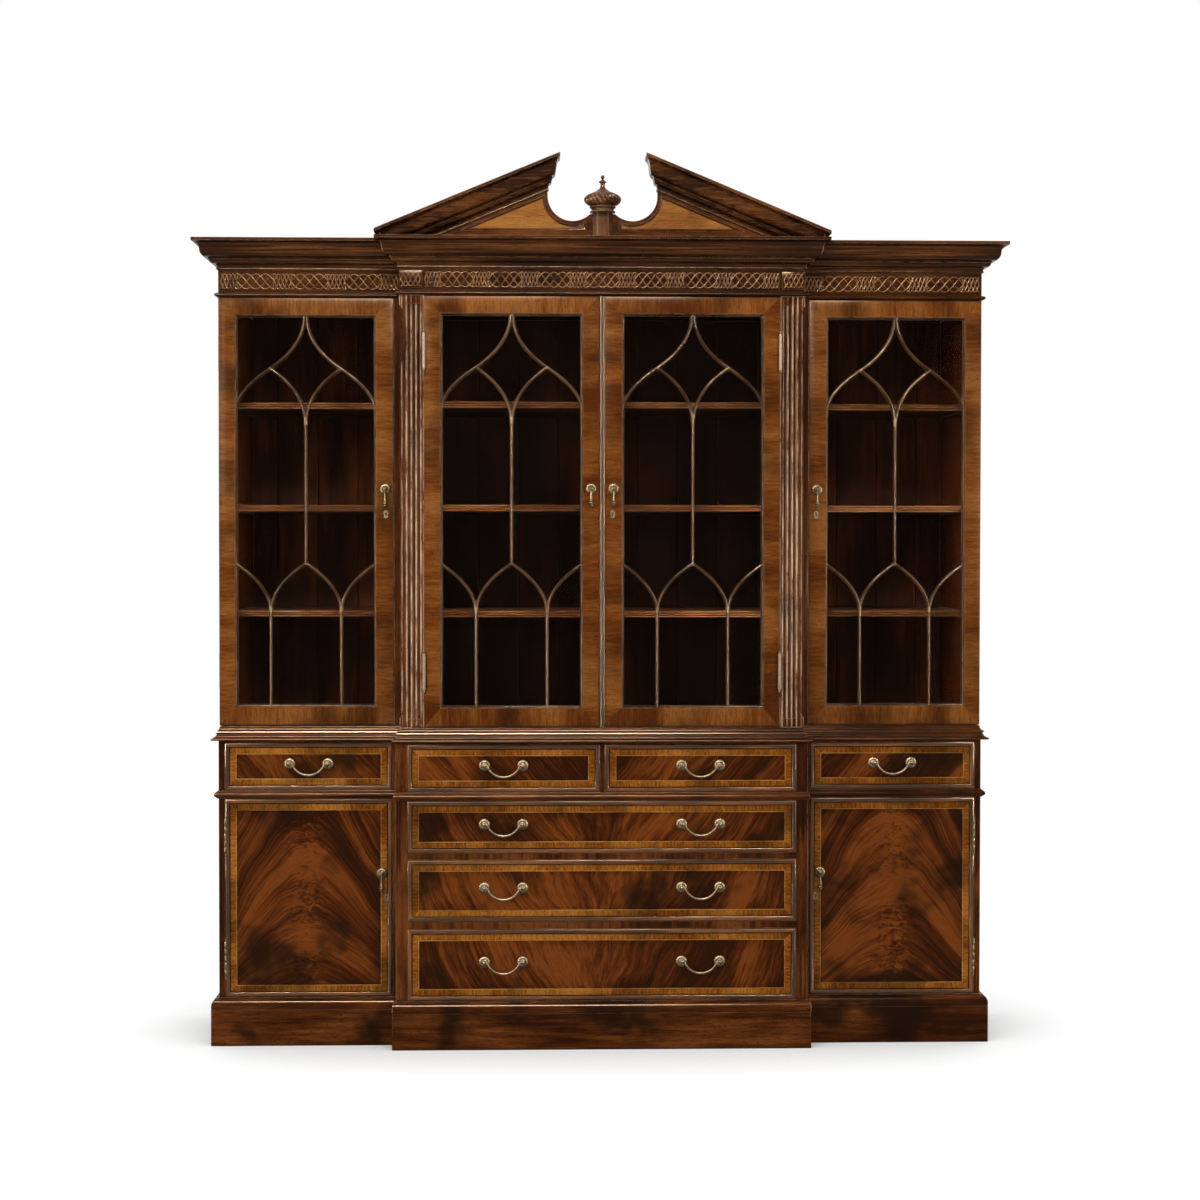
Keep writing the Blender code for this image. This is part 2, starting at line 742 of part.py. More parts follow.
def make_centre_carcass():
    """The centre bay with its two fluted pilasters. The doors close inside the pilasters."""
    low = (-CENTRE_X, CENTRE_Y, UPPER_FOOT_Z)
    high = (CENTRE_X, CARCASS_BACK_Y, UPPER_HEAD_Z)
    carcass = box("upper_centre_carcass", low, high, mahogany)
    jamb = CENTRE_X - PILASTER_WIDTH
    wall = CENTRE_X - UPPER_WALL
    door_back = CENTRE_Y + DOOR_THICKNESS + DOOR_GAP
    pilaster_back = CENTRE_Y + PILASTER_DEPTH
    floor = UPPER_FOOT_Z + UPPER_BOARD
    ceiling = UPPER_HEAD_Z - UPPER_BOARD
    cut_box(
        carcass,
        (-jamb, CENTRE_Y - OVERRUN, UPPER_FOOT_Z - OVERRUN),
        (jamb, door_back, UPPER_HEAD_Z + OVERRUN),
    )
    cut_box(carcass, (-jamb, door_back - OVERRUN, floor), (jamb, pilaster_back + OVERRUN, ceiling))
    cut_box(carcass, (-wall, pilaster_back, floor), (wall, CARCASS_BACK_Y + OVERRUN, ceiling))
    cut_shelf_grooves(carcass, -wall, wall, CENTRE_Y)
    flute_middle = CENTRE_X - CANT_WIDTH / 2 - PILASTER_WIDTH / 2
    for side in (-1, 1):
        cut(carcass, cant_cutter(side))
        for index in range(FLUTE_COUNT):
            place = flute_middle + (index - (FLUTE_COUNT - 1) / 2) * FLUTE_PITCH
            cut(carcass, flute_cutter(side * place))
        cut_barrel_notches(carcass, centre_hinge_axis(side), door_foot(), door_head(), DOOR_HINGE_INSET)
    return carcass


def make_upper_back():
    """Vertical boards with open V joints on the side that shows through the glass."""
    joints = int((BODY_X - 2 * BACK_BOARD_JOINT) / BACK_BOARD_WIDTH)
    front = BACK_Y - BACK_PANEL
    outline = [(-BODY_X, front)]
    for index in range(-joints, joints + 1):
        middle = index * BACK_BOARD_WIDTH
        outline += [
            (middle - BACK_BOARD_JOINT, front),
            (middle, front + BACK_BOARD_JOINT),
            (middle + BACK_BOARD_JOINT, front),
        ]
    outline += [(BODY_X, front), (BODY_X, BACK_Y), (-BODY_X, BACK_Y)]
    rings = [[(x, y, level) for x, y in outline] for level in (UPPER_FOOT_Z, UPPER_HEAD_Z)]
    return loft("upper_back_panel", rings, back_board_oak)


def make_shelf(name, inside_low, inside_high, front_y, level):
    """A shelf with a reeded front edge, its ends held in the wall grooves."""
    front = front_y + SHELF_SETBACK
    reed = SHELF_THICKNESS / SHELF_REEDS
    section = []
    for index in range(SHELF_REEDS):
        for step in range(CURVE_STEPS):
            angle = math.pi * step / CURVE_STEPS
            section.append((front + reed / 2 * (1 - math.sin(angle)), level + reed * (index + (1 - math.cos(angle)) / 2)))
    section += [
        (front + reed / 2, level + SHELF_THICKNESS),
        (CARCASS_BACK_Y - GAP, level + SHELF_THICKNESS),
        (CARCASS_BACK_Y - GAP, level),
    ]
    ends = (inside_low - SHELF_GROOVE + GAP, inside_high + SHELF_GROOVE - GAP)
    return loft(name, [[(x, y, z) for y, z in section] for x in ends], mahogany)


def make_shelves():
    names = ("lower", "middle", "upper")
    wall = CENTRE_X - UPPER_WALL
    for label, level in zip(names, shelf_levels()):
        for wing, side in (("left", -1), ("right", 1)):
            inside = mirrored(side, *wing_inside())
            make_shelf(f"{wing}_{label}_shelf", inside[0], inside[1], WING_Y, level)
        make_shelf(f"centre_{label}_shelf", -wall, wall, CENTRE_Y, level)


# Hinges and glazed doors


def join_barrels(door, axis, foot, head, inset):
    """Knuckles with small turned tips, fixed to the door on its axis."""
    profile = (
        (0, BARREL_LENGTH + BARREL_TIP),
        (BARREL_RADIUS, BARREL_LENGTH),
        (BARREL_RADIUS, 0),
        (0, -BARREL_TIP),
    )
    for level in barrel_levels(foot, head, inset):
        join(door, turned("barrel", profile, BARREL_STEPS, (axis[0], axis[1], level), antique_brass))


def bar_section(width, setback):
    """A glazing bar in section, across and up from its back: flat behind, with a ridge in front."""
    depth = BAR_BACK - setback
    shoulder = depth / 2
    return ((-width / 2, 0), (width / 2, 0), (width / 2, shoulder), (0, depth), (-width / 2, shoulder))


def bar_along(path, width, setback, front_y):
    """Sweeps the bar's section along a path of points in the door's plane."""
    section = bar_section(width, setback)
    back = front_y + BAR_BACK
    rings = []
    for index, point in enumerate(path):
        before = path[max(index - 1, 0)]
        after = path[min(index + 1, len(path) - 1)]
        along = Vector((after[0] - before[0], after[1] - before[1])).normalized()
        rings.append([(point[0] + along.y * across, back - up, point[1] - along.x * across) for across, up in section])
    return loft("glazing_bar", rings, door_mahogany)


def arch_arc(foot, reach, rise):
    """Points of an arc that leaves its foot upright and comes to its crown at a slope."""
    upright = math.copysign(abs(rise) - abs(reach) * CROWN_SLOPE_SHARE, rise)
    points = []
    for step in range(ARC_SEGMENTS + 1):
        share = step / ARC_SEGMENTS
        up = 2 * share * (1 - share) * upright + share * share * rise
        points.append((foot[0] + share * share * reach, foot[1] + up))
    return points


def tracery_paths(low_x, high_x, foot_z, head_z):
    """Ogee arches at the top, a centre post, and pointed arches on two lower posts."""
    width = high_x - low_x
    span = width / 4
    middle = low_x + width / 2
    crown = head_z - OGEE_HEAD_RISE
    post_head = crown - INNER_ARC_RISE
    post_foot = post_head - CENTRE_POST
    lower_feet = post_foot - LOWER_ARCH_RISE
    bars = []
    for side, edge in ((1, low_x), (-1, high_x)):
        head = (middle - side * BAR_WIDTH / 2, head_z)
        foot = (edge + side * FOOT_INSET, crown - OGEE_FOOT_RISE)
        falling = arch_arc(head, -side * (span - BAR_WIDTH / 2), -OGEE_HEAD_RISE)
        rising = arch_arc(foot, side * (span - FOOT_INSET), OGEE_FOOT_RISE)
        bars.append(rising + list(reversed(falling))[1:] + [(head[0], head_z + BAR_TENON)])
        bars.append(arch_arc((middle, post_head), -side * span, INNER_ARC_RISE))
        bars.append(arch_arc((edge + side * span, lower_feet), side * span, LOWER_ARCH_RISE))
        wall_arc = arch_arc((edge + side * span, lower_feet), -side * span, LOWER_ARCH_RISE)
        bars.append(wall_arc + [(edge - side * BAR_TENON, post_foot + BAR_TENON * CROWN_SLOPE_SHARE)])
    posts = [((middle, post_foot - BAR_TENON), (middle, post_head + BAR_TENON))]
    for share in LOWER_POST_SHARES:
        x = low_x + width * share
        posts.append(((x, foot_z - BAR_TENON), (x, lower_feet + BAR_TENON)))
    return bars, posts


def make_glazed_door(name, edges, glass_edges, front_y, axis, material=door_mahogany):
    """A frame rebated for its pane from behind, with a sight bead and ogee tracery in front of the glass."""
    foot, head = door_foot(), door_head()
    door = box(name, (edges[0], front_y, foot), (edges[1], front_y + DOOR_THICKNESS, head), material)
    hang(door, (axis[0], axis[1], foot))
    low_z = foot + DOOR_BOTTOM_RAIL
    high_z = head - DOOR_TOP_RAIL
    low_x, high_x = glass_edges
    cut_box(door, (low_x, front_y - OVERRUN, low_z), (high_x, front_y + SIGHT_SETBACK, high_z))
    cut_box(
        door,
        (low_x + SIGHT_BEAD, front_y - OVERRUN, low_z + SIGHT_BEAD),
        (high_x - SIGHT_BEAD, front_y + DOOR_THICKNESS + OVERRUN, high_z - SIGHT_BEAD),
    )
    cut_box(door, (low_x, front_y + GLASS_SEAT, low_z), (high_x, front_y + DOOR_THICKNESS + OVERRUN, high_z))
    bars, posts = tracery_paths(low_x, high_x, low_z, high_z)
    for path in bars:
        join(door, bar_along(path, BAR_WIDTH, BAR_SETBACK, front_y))
    for path in posts:
        join(door, bar_along(path, POST_WIDTH, POST_SETBACK, front_y))
    join_barrels(door, axis, foot, head, DOOR_HINGE_INSET)
    pane = box(
        name.replace("door", "pane"),
        (low_x + GLASS_PLAY, front_y + GLASS_SEAT + GAP, low_z + GLASS_PLAY),
        (high_x - GLASS_PLAY, front_y + GLASS_SEAT + GAP + GLASS_THICKNESS, high_z - GLASS_PLAY),
        window_glass,
    )
    follow(pane, door)
    return door


def wing_door_edges():
    """The edges of a wing door and of its opening for the glass, as distances from the middle."""
    inner = CENTRE_X + GAP + WING_STRIP + DOOR_GAP
    return (inner, BODY_X), (inner + WING_DOOR_STILE, BODY_X - CENTRE_OUTER_STILE)


def make_glazed_doors():
    door_edges, glass_edges = wing_door_edges()
    pull_z = UPPER_FOOT_Z + DOOR_PULL_RISE
    for wing, side in (("left", -1), ("right", 1)):
        edges = mirrored(side, *door_edges)
        glass = mirrored(side, *glass_edges)
        door = make_glazed_door(f"{wing}_wing_door", edges, glass, WING_Y, wing_hinge_axis(side))
        pull_x = side * (door_edges[0] + DOOR_PULL_INSET)
        make_drop_pull(f"{wing}_wing_door_pull", door, pull_x, WING_Y, pull_z)

        outer = side * (CENTRE_X - PILASTER_WIDTH - DOOR_GAP)
        meeting = -MEETING_BEAD / 2 - MEETING_GAP if side < 0 else -MEETING_BEAD / 2
        glass = mirrored(side, CENTRE_GLASS_MARGIN, CENTRE_X - PILASTER_WIDTH - DOOR_GAP - CENTRE_OUTER_STILE)
        door = make_glazed_door(f"{wing}_centre_door", sorted((outer, meeting)), glass, CENTRE_Y, centre_hinge_axis(side))
        pull_x = side * (CENTRE_GLASS_MARGIN + MEETING_BEAD / 2) / 2
        make_drop_pull(f"{wing}_centre_door_pull", door, pull_x, CENTRE_Y, pull_z)
        if side > 0:
            add_meeting_bead(door)


def add_meeting_bead(door):
    """Two reeds down the edge of the right door, clear of the left one."""
    reed = MEETING_BEAD / 2
    for index in range(2):
        section = [(-reed + index * reed, CENTRE_Y + SINK)]
        for step in range(CURVE_STEPS + 1):
            angle = math.pi * step / CURVE_STEPS
            x = -reed + index * reed + reed * (1 - math.cos(angle)) / 2
            section.append((x, CENTRE_Y - MEETING_BEAD_RISE * math.sin(angle)))
        section.append((-reed + (index + 1) * reed, CENTRE_Y + SINK))
        rings = [[(x, y, level) for x, y in section] for level in (door_foot(), door_head())]
        join(door, loft("meeting_bead", rings, door_mahogany))


# Handles


def post_profile(reach):
    """A rosette with a post that ends in a ball, from its tip down to the wood."""
    ball = POST_BALL_RADIUS
    return (
        (0, reach + ball),
        (ball, reach + ball / 4),
        (POST_RADIUS, reach - ball / 2),
        (POST_RADIUS, ROSETTE_RADIUS / 3),
        (ROSETTE_RADIUS / 2, ROSETTE_RADIUS / 4),
        (ROSETTE_RADIUS, ROSETTE_RADIUS / 8),
        (ROSETTE_RADIUS, -SINK),
        (0, -SINK),
    )


def make_bail(name, drawer, x, face_y, z):
    """Two rosettes with posts on the drawer, and a bail whose pins turn in the posts."""
    half = BAIL_CENTRES / 2
    axis_y = face_y - BAIL_REACH
    for side in (-1, 1):
        place = (x + side * half, face_y, z)
        join(drawer, turned("rosette", post_profile(BAIL_REACH), ROSETTE_STEPS, place, antique_brass, "front"))
        hole_start = (x + side * half - OVERRUN * 2, axis_y, z)
        hole_length = 4 * OVERRUN
        cut(drawer, rod("pin_hole", BAIL_PIN_RADIUS + PIN_PLAY, hole_start, hole_length, PIN_STEPS, mahogany, "side"))
    mouth = half - POST_BALL_RADIUS - BAIL_RADIUS
    radius = (mouth * mouth + BAIL_DROP * BAIL_DROP) / (2 * BAIL_DROP)
    sweep = math.asin(mouth / radius)
    points = [(-half - PIN_PLAY, 0, BAIL_PIN_RADIUS / BAIL_RADIUS), (-mouth - BAIL_RADIUS, 0, BAIL_PIN_RADIUS / BAIL_RADIUS)]
    for step in range(BAIL_SEGMENTS + 1):
        angle = -sweep + 2 * sweep * step / BAIL_SEGMENTS
        points.append((radius * math.sin(angle), radius * (math.cos(sweep) - math.cos(angle)), 1.0))
    points += [(-across, up, share) for across, up, share in reversed(points[:2])]
    curve = bpy.data.curves.new(name, "CURVE")
    curve.dimensions = "3D"
    curve.bevel_depth = BAIL_RADIUS
    curve.bevel_resolution = 1
    curve.use_fill_caps = True
    spline = curve.splines.new("POLY")
    spline.points.add(len(points) - 1)
    for point, (across, up, share) in zip(spline.points, points):
        point.co = (across, 0, up, 1.0)
        point.radius = share
    bail = bpy.data.objects.new(name, curve)
    curve.materials.append(antique_brass)
    cabinet.objects.link(bail)
    bail.location = (x, axis_y, z)
    follow(bail, drawer)
    return bail


def make_drop_pull(name, door, x, face_y, z):
    """A rosette with two cheeks on the door, and a turned drop that swings on a cross pin between them."""
    axis_y = face_y - DROP_REACH
    knob = DROP_KNOB_RADIUS
    profile = (
        (0, DROP_REACH + knob * math.sin(math.radians(50))),
        (knob * math.cos(math.radians(40)), DROP_REACH + knob * math.sin(math.radians(40))),
        (knob, DROP_REACH),
        (knob * math.cos(math.radians(40)), DROP_REACH - knob * math.sin(math.radians(40))),
        (ROSETTE_RADIUS / 2, ROSETTE_RADIUS / 4),
        (ROSETTE_RADIUS, ROSETTE_RADIUS / 8),
        (ROSETTE_RADIUS, -SINK),
        (0, -SINK),
    )
    join(door, turned("drop_rosette", profile, ROSETTE_STEPS, (x, face_y, z), antique_brass, "front"))
    slot = DROP_ROD_RADIUS + CHEEK_PLAY
    slot_low = (x - slot, axis_y - 2 * knob, z - 2 * knob)
    slot_high = (x + slot, axis_y + DROP_ROD_RADIUS + CHEEK_PLAY, z + DROP_ROD_RADIUS + CHEEK_PLAY)
    cut_box(door, slot_low, slot_high)
    hole_start = (x - 2 * knob, axis_y, z)
    cut(door, rod("pin_hole", DROP_PIN_RADIUS + PIN_PLAY, hole_start, 4 * knob, PIN_STEPS, mahogany, "side"))
    shape = [(DROP_COLLAR_RADIUS * radius, DROP_LENGTH * height) for radius, height in DROP_SHARES]
    drop = turned(name, shape, DROP_STEPS, (x, axis_y, z), antique_brass)
    pin_start = (x - knob, axis_y, z)
    join_pin = rod("cross_pin", DROP_PIN_RADIUS, pin_start, 2 * knob, PIN_STEPS, antique_brass, "side")
    join(drop, join_pin)
    follow(drop, door)
    return drop


# Base carcasses


def cut_drawer_space(carcass, low_x, high_x, foot, head, front_y):
    """An opening through the carcass, taller behind the rail, where only a dust board lies above it."""
    cut_box(carcass, (low_x, front_y - OVERRUN, foot), (high_x, CARCASS_BACK_Y + OVERRUN, head))
    return head


def cut_over_drawer(carcass, low_x, high_x, head, rail, front_y):
    """Thins a rail to a dust board behind its front edge."""
    low = (low_x, front_y + RAIL_DEPTH, head - SINK)
    high = (high_x, CARCASS_BACK_Y + OVERRUN, head + rail - DUST_BOARD)
    cut_box(carcass, low, high)


def make_base_centre():
    """Two small drawer spaces over three wide ones, with a dust board under each row."""
    low = (-BASE_CENTRE_X, BASE_CENTRE_Y, BASE_FOOT_Z)
    high = (BASE_CENTRE_X, CARCASS_BACK_Y, BASE_HEAD_Z)
    carcass = box("base_centre_carcass", low, high, mahogany)
    jamb = BASE_CENTRE_X - BASE_STILE
    rows = (
        (FOURTH_Z, FOURTH_OPENING, THIRD_RAIL),
        (THIRD_Z, THIRD_OPENING, SECOND_RAIL),
        (SECOND_Z, SECOND_OPENING, WAIST_RAIL),
    )
    for foot, opening, rail in rows:
        cut_drawer_space(carcass, -jamb, jamb, foot, foot + opening, BASE_CENTRE_Y)
        cut_over_drawer(carcass, -jamb, jamb, foot + opening, rail, BASE_CENTRE_Y)
    for side in (-1, 1):
        edges = mirrored(side, DIVIDER / 2, jamb)
        cut_drawer_space(carcass, edges[0], edges[1], SMALL_Z, SMALL_Z + SMALL_OPENING, BASE_CENTRE_Y)
    return carcass


def base_wing_inside():
    return (BASE_CENTRE_X + GAP + BASE_INNER_STRIP, BASE_X - BASE_OUTER_STILE)


def cupboard_hinge_axis(side):
    return (side * (BASE_X - BASE_OUTER_STILE - DOOR_GAP / 2), BASE_WING_Y - BARREL_PROUD)


def make_base_wing(name, side):
    """One drawer space over a cupboard, whose door closes on a stop under the waist rail."""
    outer = mirrored(side, BASE_CENTRE_X + GAP, BASE_X)
    low = (outer[0], BASE_WING_Y, BASE_FOOT_Z)
    carcass = box(name, low, (outer[1], CARCASS_BACK_Y, BASE_HEAD_Z), mahogany)
    inside = mirrored(side, *base_wing_inside())
    cut_drawer_space(carcass, inside[0], inside[1], SMALL_Z, SMALL_Z + SMALL_OPENING, BASE_WING_Y)
    stop_y = BASE_WING_Y + CUPBOARD_DOOR + DOOR_GAP
    cut_box(carcass, (inside[0], BASE_WING_Y - OVERRUN, FOURTH_Z), (inside[1], stop_y, WAIST_Z))
    cut_box(
        carcass,
        (inside[0], stop_y - SINK, FOURTH_Z),
        (inside[1], CARCASS_BACK_Y + OVERRUN, WAIST_Z - DOOR_STOP),
    )
    cut_over_drawer(carcass, inside[0], inside[1], WAIST_Z - DOOR_STOP, WAIST_RAIL + DOOR_STOP, BASE_WING_Y)
    foot, head = cupboard_door_levels()
    cut_barrel_notches(carcass, cupboard_hinge_axis(side), foot, head, CUPBOARD_HINGE_INSET)
    return carcass


def make_base_back():
    low = (-BASE_X, BACK_Y - BACK_PANEL, BASE_FOOT_Z)
    return box("base_back_panel", low, (BASE_X, BACK_Y, BASE_HEAD_Z), back_board_oak)


# Drawers and cupboard doors


def cupboard_door_levels():
    return FOURTH_Z + DOOR_GAP, WAIST_Z - DOOR_GAP


def make_drawer(name, low_x, high_x, foot, height, front_y, bails):
    """A box on its dust board, behind a front with a raised cock bead round its field."""
    head = foot + height
    front = box(
        name,
        (low_x + DRAWER_GAP, front_y - bead_shoulder(), foot + DRAWER_GAP),
        (high_x - DRAWER_GAP, front_y + DRAWER_FRONT, head - DRAWER_GAP),
        feathered_mahogany,
    )
    raise_cock_bead(front)
    hang(front, ((low_x + high_x) / 2, front_y, foot))
    tray_head = head - DRAWER_TOP_PLAY
    tray = box(
        name + "_tray",
        (low_x + DRAWER_SIDE_PLAY, front_y + DRAWER_FRONT - SINK, foot + GAP),
        (high_x - DRAWER_SIDE_PLAY, CARCASS_BACK_Y - DRAWER_BACK_PLAY, tray_head),
        inside_mahogany,
    )
    sink_face(tray, (0, 0, 1), [(DRAWER_SIDE, 0)], tray_head - foot - GAP - DRAWER_BOTTOM)
    join(front, tray)
    for index, x in enumerate(bails):
        label = f"{name}_bail" if len(bails) == 1 else f"{name}_{('left', 'right')[index]}_bail"
        make_bail(label, front, x, front_y, (foot + head) / 2 + BAIL_DROP / 4)
    return front


def make_drawers():
    jamb = BASE_CENTRE_X - BASE_STILE
    rows = (
        ("bottom_drawer", FOURTH_Z, FOURTH_OPENING),
        ("third_drawer", THIRD_Z, THIRD_OPENING),
        ("second_drawer", SECOND_Z, SECOND_OPENING),
    )
    for name, foot, height in rows:
        make_drawer(name, -jamb, jamb, foot, height, BASE_CENTRE_Y, (-WIDE_BAIL_PLACE, WIDE_BAIL_PLACE))
    for wing, side in (("left", -1), ("right", 1)):
        edges = mirrored(side, DIVIDER / 2, jamb)
        middle = sum(edges) / 2
        make_drawer(f"{wing}_small_drawer", edges[0], edges[1], SMALL_Z, SMALL_OPENING, BASE_CENTRE_Y, (middle,))
        edges = mirrored(side, *base_wing_inside())
        middle = sum(edges) / 2
        make_drawer(f"{wing}_wing_drawer", edges[0], edges[1], SMALL_Z, SMALL_OPENING, BASE_WING_Y, (middle,))


def make_cupboard_doors():
    foot, head = cupboard_door_levels()
    inside = base_wing_inside()
    for wing, side in (("left", -1), ("right", 1)):
        edges = mirrored(side, inside[0] + DOOR_GAP, inside[1] - DOOR_GAP)
        axis = cupboard_hinge_axis(side)
        door = box(
            f"{wing}_cupboard_door",
            (edges[0], BASE_WING_Y - bead_shoulder(), foot),
            (edges[1], BASE_WING_Y + CUPBOARD_DOOR, head),
            feathered_mahogany,
        )
        raise_cock_bead(door)
        hang(door, (axis[0], axis[1], foot))
        join_barrels(door, axis, foot, head, CUPBOARD_HINGE_INSET)
        pull_x = side * (inside[0] + CUPBOARD_PULL_INSET)
        make_drop_pull(f"{wing}_cupboard_pull", door, pull_x, BASE_WING_Y, FOURTH_Z + CUPBOARD_PULL_RISE)


# Pediment and finial


def rake_line(distance):
    """The height of the raking cornice's top edge at a distance from the middle."""
    return RAKE_FOOT_Z + RAKE_SLOPE * (RAKE_FOOT_X - distance)


def rake_return_share():
    """How far the upper end's return projects, as a share of the front's projection."""
    return (SCROLL_X + SCROLL_RADIUS - RAKE_TIP_X) / CORNICE_PROJECTION


def make_rake(name, side):
    """The cornice's own profile, sheared up the slope, with a return at each end and its foot cut level."""
    inner_share = rake_return_share()
    foot_x = CENTRE_X
    tip_x = SCROLL_X + SCROLL_RADIUS
    rings = []
    for out, up in moulding(CORNICE_SHARES, CORNICE_PROJECTION, CORNICE_HEIGHT):
        drop = CORNICE_HEIGHT - up
        plan = (
            (foot_x + GAP, CENTRE_Y + RAKE_RETURN_DEPTH),
            (foot_x + out, CENTRE_Y + RAKE_RETURN_DEPTH),
            (foot_x + out, CENTRE_Y - out),
            (tip_x - out * inner_share, CENTRE_Y - out),
            (tip_x - out * inner_share, CENTRE_Y - GAP),
            (foot_x + GAP, CENTRE_Y - GAP),
        )
        rings.append([(side * x, y, rake_line(x) - drop) for x, y in plan])
    rake = loft(name, rings, mahogany)
    builder = bmesh.new()
    builder.from_mesh(rake.data)
    everything = builder.verts[:] + builder.edges[:] + builder.faces[:]
    level = Vector((0, 0, PEDIMENT_Z))
    cut_edges = bmesh.ops.bisect_plane(builder, geom=everything, plane_co=level, plane_no=(0, 0, 1), clear_inner=True)
    rim = [part for part in cut_edges["geom_cut"] if isinstance(part, bmesh.types.BMEdge)]
    bmesh.ops.holes_fill(builder, edges=rim)
    face_outwards(builder)
    builder.to_mesh(rake.data)
    builder.free()
    return rake


def scroll_arc(radius, start_degrees, end_degrees, steps):
    """Points on the right-hand cut-out, as distance from the middle and height."""
    points = []
    for step in range(steps + 1):
        angle = math.radians(start_degrees + (end_degrees - start_degrees) * step / steps)
        points.append((SCROLL_X + radius * math.cos(angle), PEDIMENT_Z + SCROLL_RISE + radius * math.sin(angle)))
    return points


def upright_prism(name, outline, front, back, material):
    """Stands an outline of X and Z up between two planes."""
    return loft(name, [[(x, y, z) for x, z in outline] for y in (front, back)], material)


def make_tympanum():
    """The board behind the raking cornices, with its two scrolls, sunk panels and the finial's pedestal."""
    neck = PEDIMENT_Z + BOARD_NECK_RISE
    neck_drop = (PEDIMENT_Z + SCROLL_RISE - neck) / SCROLL_RADIUS
    neck_angle = 180 + math.degrees(math.asin(neck_drop))
    foot_x = CENTRE_X
    edge_x = SCROLL_X + SCROLL_RADIUS
    arc = scroll_arc(SCROLL_RADIUS, neck_angle, 360, 3 * ARC_SEGMENTS)
    right = arc + [
        (edge_x, rake_line(edge_x) - BOARD_BELOW_RAKE),
        (foot_x, rake_line(foot_x) - BOARD_BELOW_RAKE),
        (foot_x, PEDIMENT_Z),
    ]
    outline = right + [(-x, z) for x, z in reversed(right)]
    board = upright_prism("tympanum", outline, CENTRE_Y, CENTRE_Y + BOARD_THICKNESS, mahogany)
    border = SCROLL_RADIUS + PANEL_BORDER
    base_z = PEDIMENT_Z + PANEL_BASE
    start = 270 - math.degrees(math.asin((SCROLL_X - PANEL_CENTRE_EDGE) / border))
    drop = CORNICE_HEIGHT + PANEL_BORDER
    low_x = RAKE_FOOT_X - (base_z + drop - RAKE_FOOT_Z) / RAKE_SLOPE
    panel = [(PANEL_CENTRE_EDGE, base_z)] + scroll_arc(border, start, 350, 2 * ARC_SEGMENTS)
    side_x = panel[-1][0]
    panel += [(side_x, rake_line(side_x) - drop), (low_x, base_z)]
    for side in (-1, 1):
        shape = [(side * x, z) for x, z in panel]
        cut(board, upright_prism("sunk_panel", shape, CENTRE_Y - OVERRUN, CENTRE_Y + PANEL_SINK, mahogany))
    half = PEDESTAL_HALF_WIDTH
    cant = PEDESTAL_CANT
    back = CENTRE_Y + BOARD_THICKNESS
    plan = (
        (-half, back),
        (-half, CENTRE_Y - half + 2 * cant),
        (-half + cant, CENTRE_Y - half + cant),
        (half - cant, CENTRE_Y - half + cant),
        (half, CENTRE_Y - half + 2 * cant),
        (half, back),
    )
    rings = [[(x, y, level) for x, y in plan] for level in (PEDIMENT_Z, PEDIMENT_Z + PEDESTAL_HEIGHT)]
    join(board, loft("pedestal", rings, mahogany))
    return board


def make_finial():
    """A turned urn whose bowl is gadrooned: its radius swells and falls in lobes that lean as they climb."""
    profile = [(FINIAL_RADIUS * radius, FINIAL_HEIGHT * height) for radius, height in FINIAL_SHARES]
    spun = turned("finial_blank", profile, FINIAL_STEPS, (0, 0, 0), mahogany)
    bpy.context.view_layer.update()
    graph = bpy.context.evaluated_depsgraph_get()
    mesh = bpy.data.meshes.new_from_object(spun.evaluated_get(graph))
    bpy.data.objects.remove(spun, do_unlink=True)
    low, high = (share * FINIAL_HEIGHT for share in FINIAL_LOBE_SPAN_SHARES)
    for point in mesh.vertices:
        if low < point.co.z < high:
            climb = (point.co.z - low) / (high - low)
            fade = math.sin(math.pi * climb)
            angle = math.atan2(point.co.y, point.co.x) + 2 * math.pi * FINIAL_TWIST_SHARE * climb
            grow = 1 + FINIAL_LOBE_SHARE * fade * (math.cos(FINIAL_LOBES * angle) - 1)
            point.co.x *= grow
            point.co.y *= grow
    finial = add_object("finial", mesh, mahogany)
    finial.location = (0, CENTRE_Y, PEDIMENT_Z + PEDESTAL_HEIGHT + GAP)
    return finial


def build():
    make_plinth()
    make_base_wing("base_left_carcass", -1)
    make_base_centre()
    make_base_wing("base_right_carcass", 1)
    make_base_back()
    make_waist_moulding()
    make_surbase()
    make_wing_carcass("upper_left_carcass", -1)
    make_centre_carcass()
    make_wing_carcass("upper_right_carcass", 1)
    make_upper_back()
    make_shelves()
    make_glazed_doors()
    make_drawers()
    make_cupboard_doors()
    make_frieze()
    make_cornice()
    make_tympanum()
    make_rake("left_raking_cornice", -1)
    make_rake("right_raking_cornice", 1)
    make_finial()


build()
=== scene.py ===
# %% [markdown]
# # A breakfront display cabinet, dressed for its photograph
#
# The cabinet comes into this file as a plain, exact model: carcasses, shelves, doors, drawers and mouldings
# at their real size, with joints that already work. This lesson gives it what a cabinetmaker and a polisher
# would add, step by step: mitred mouldings with their fine sections, tracery on the glazed doors, veneered
# drawer fronts with crossbanding and stringing, carving, turned brass and an aged polish.
#
# Everything is in metres, with +Z up and the front facing -Y.

# %% Load the frame and note its size
import json
import math

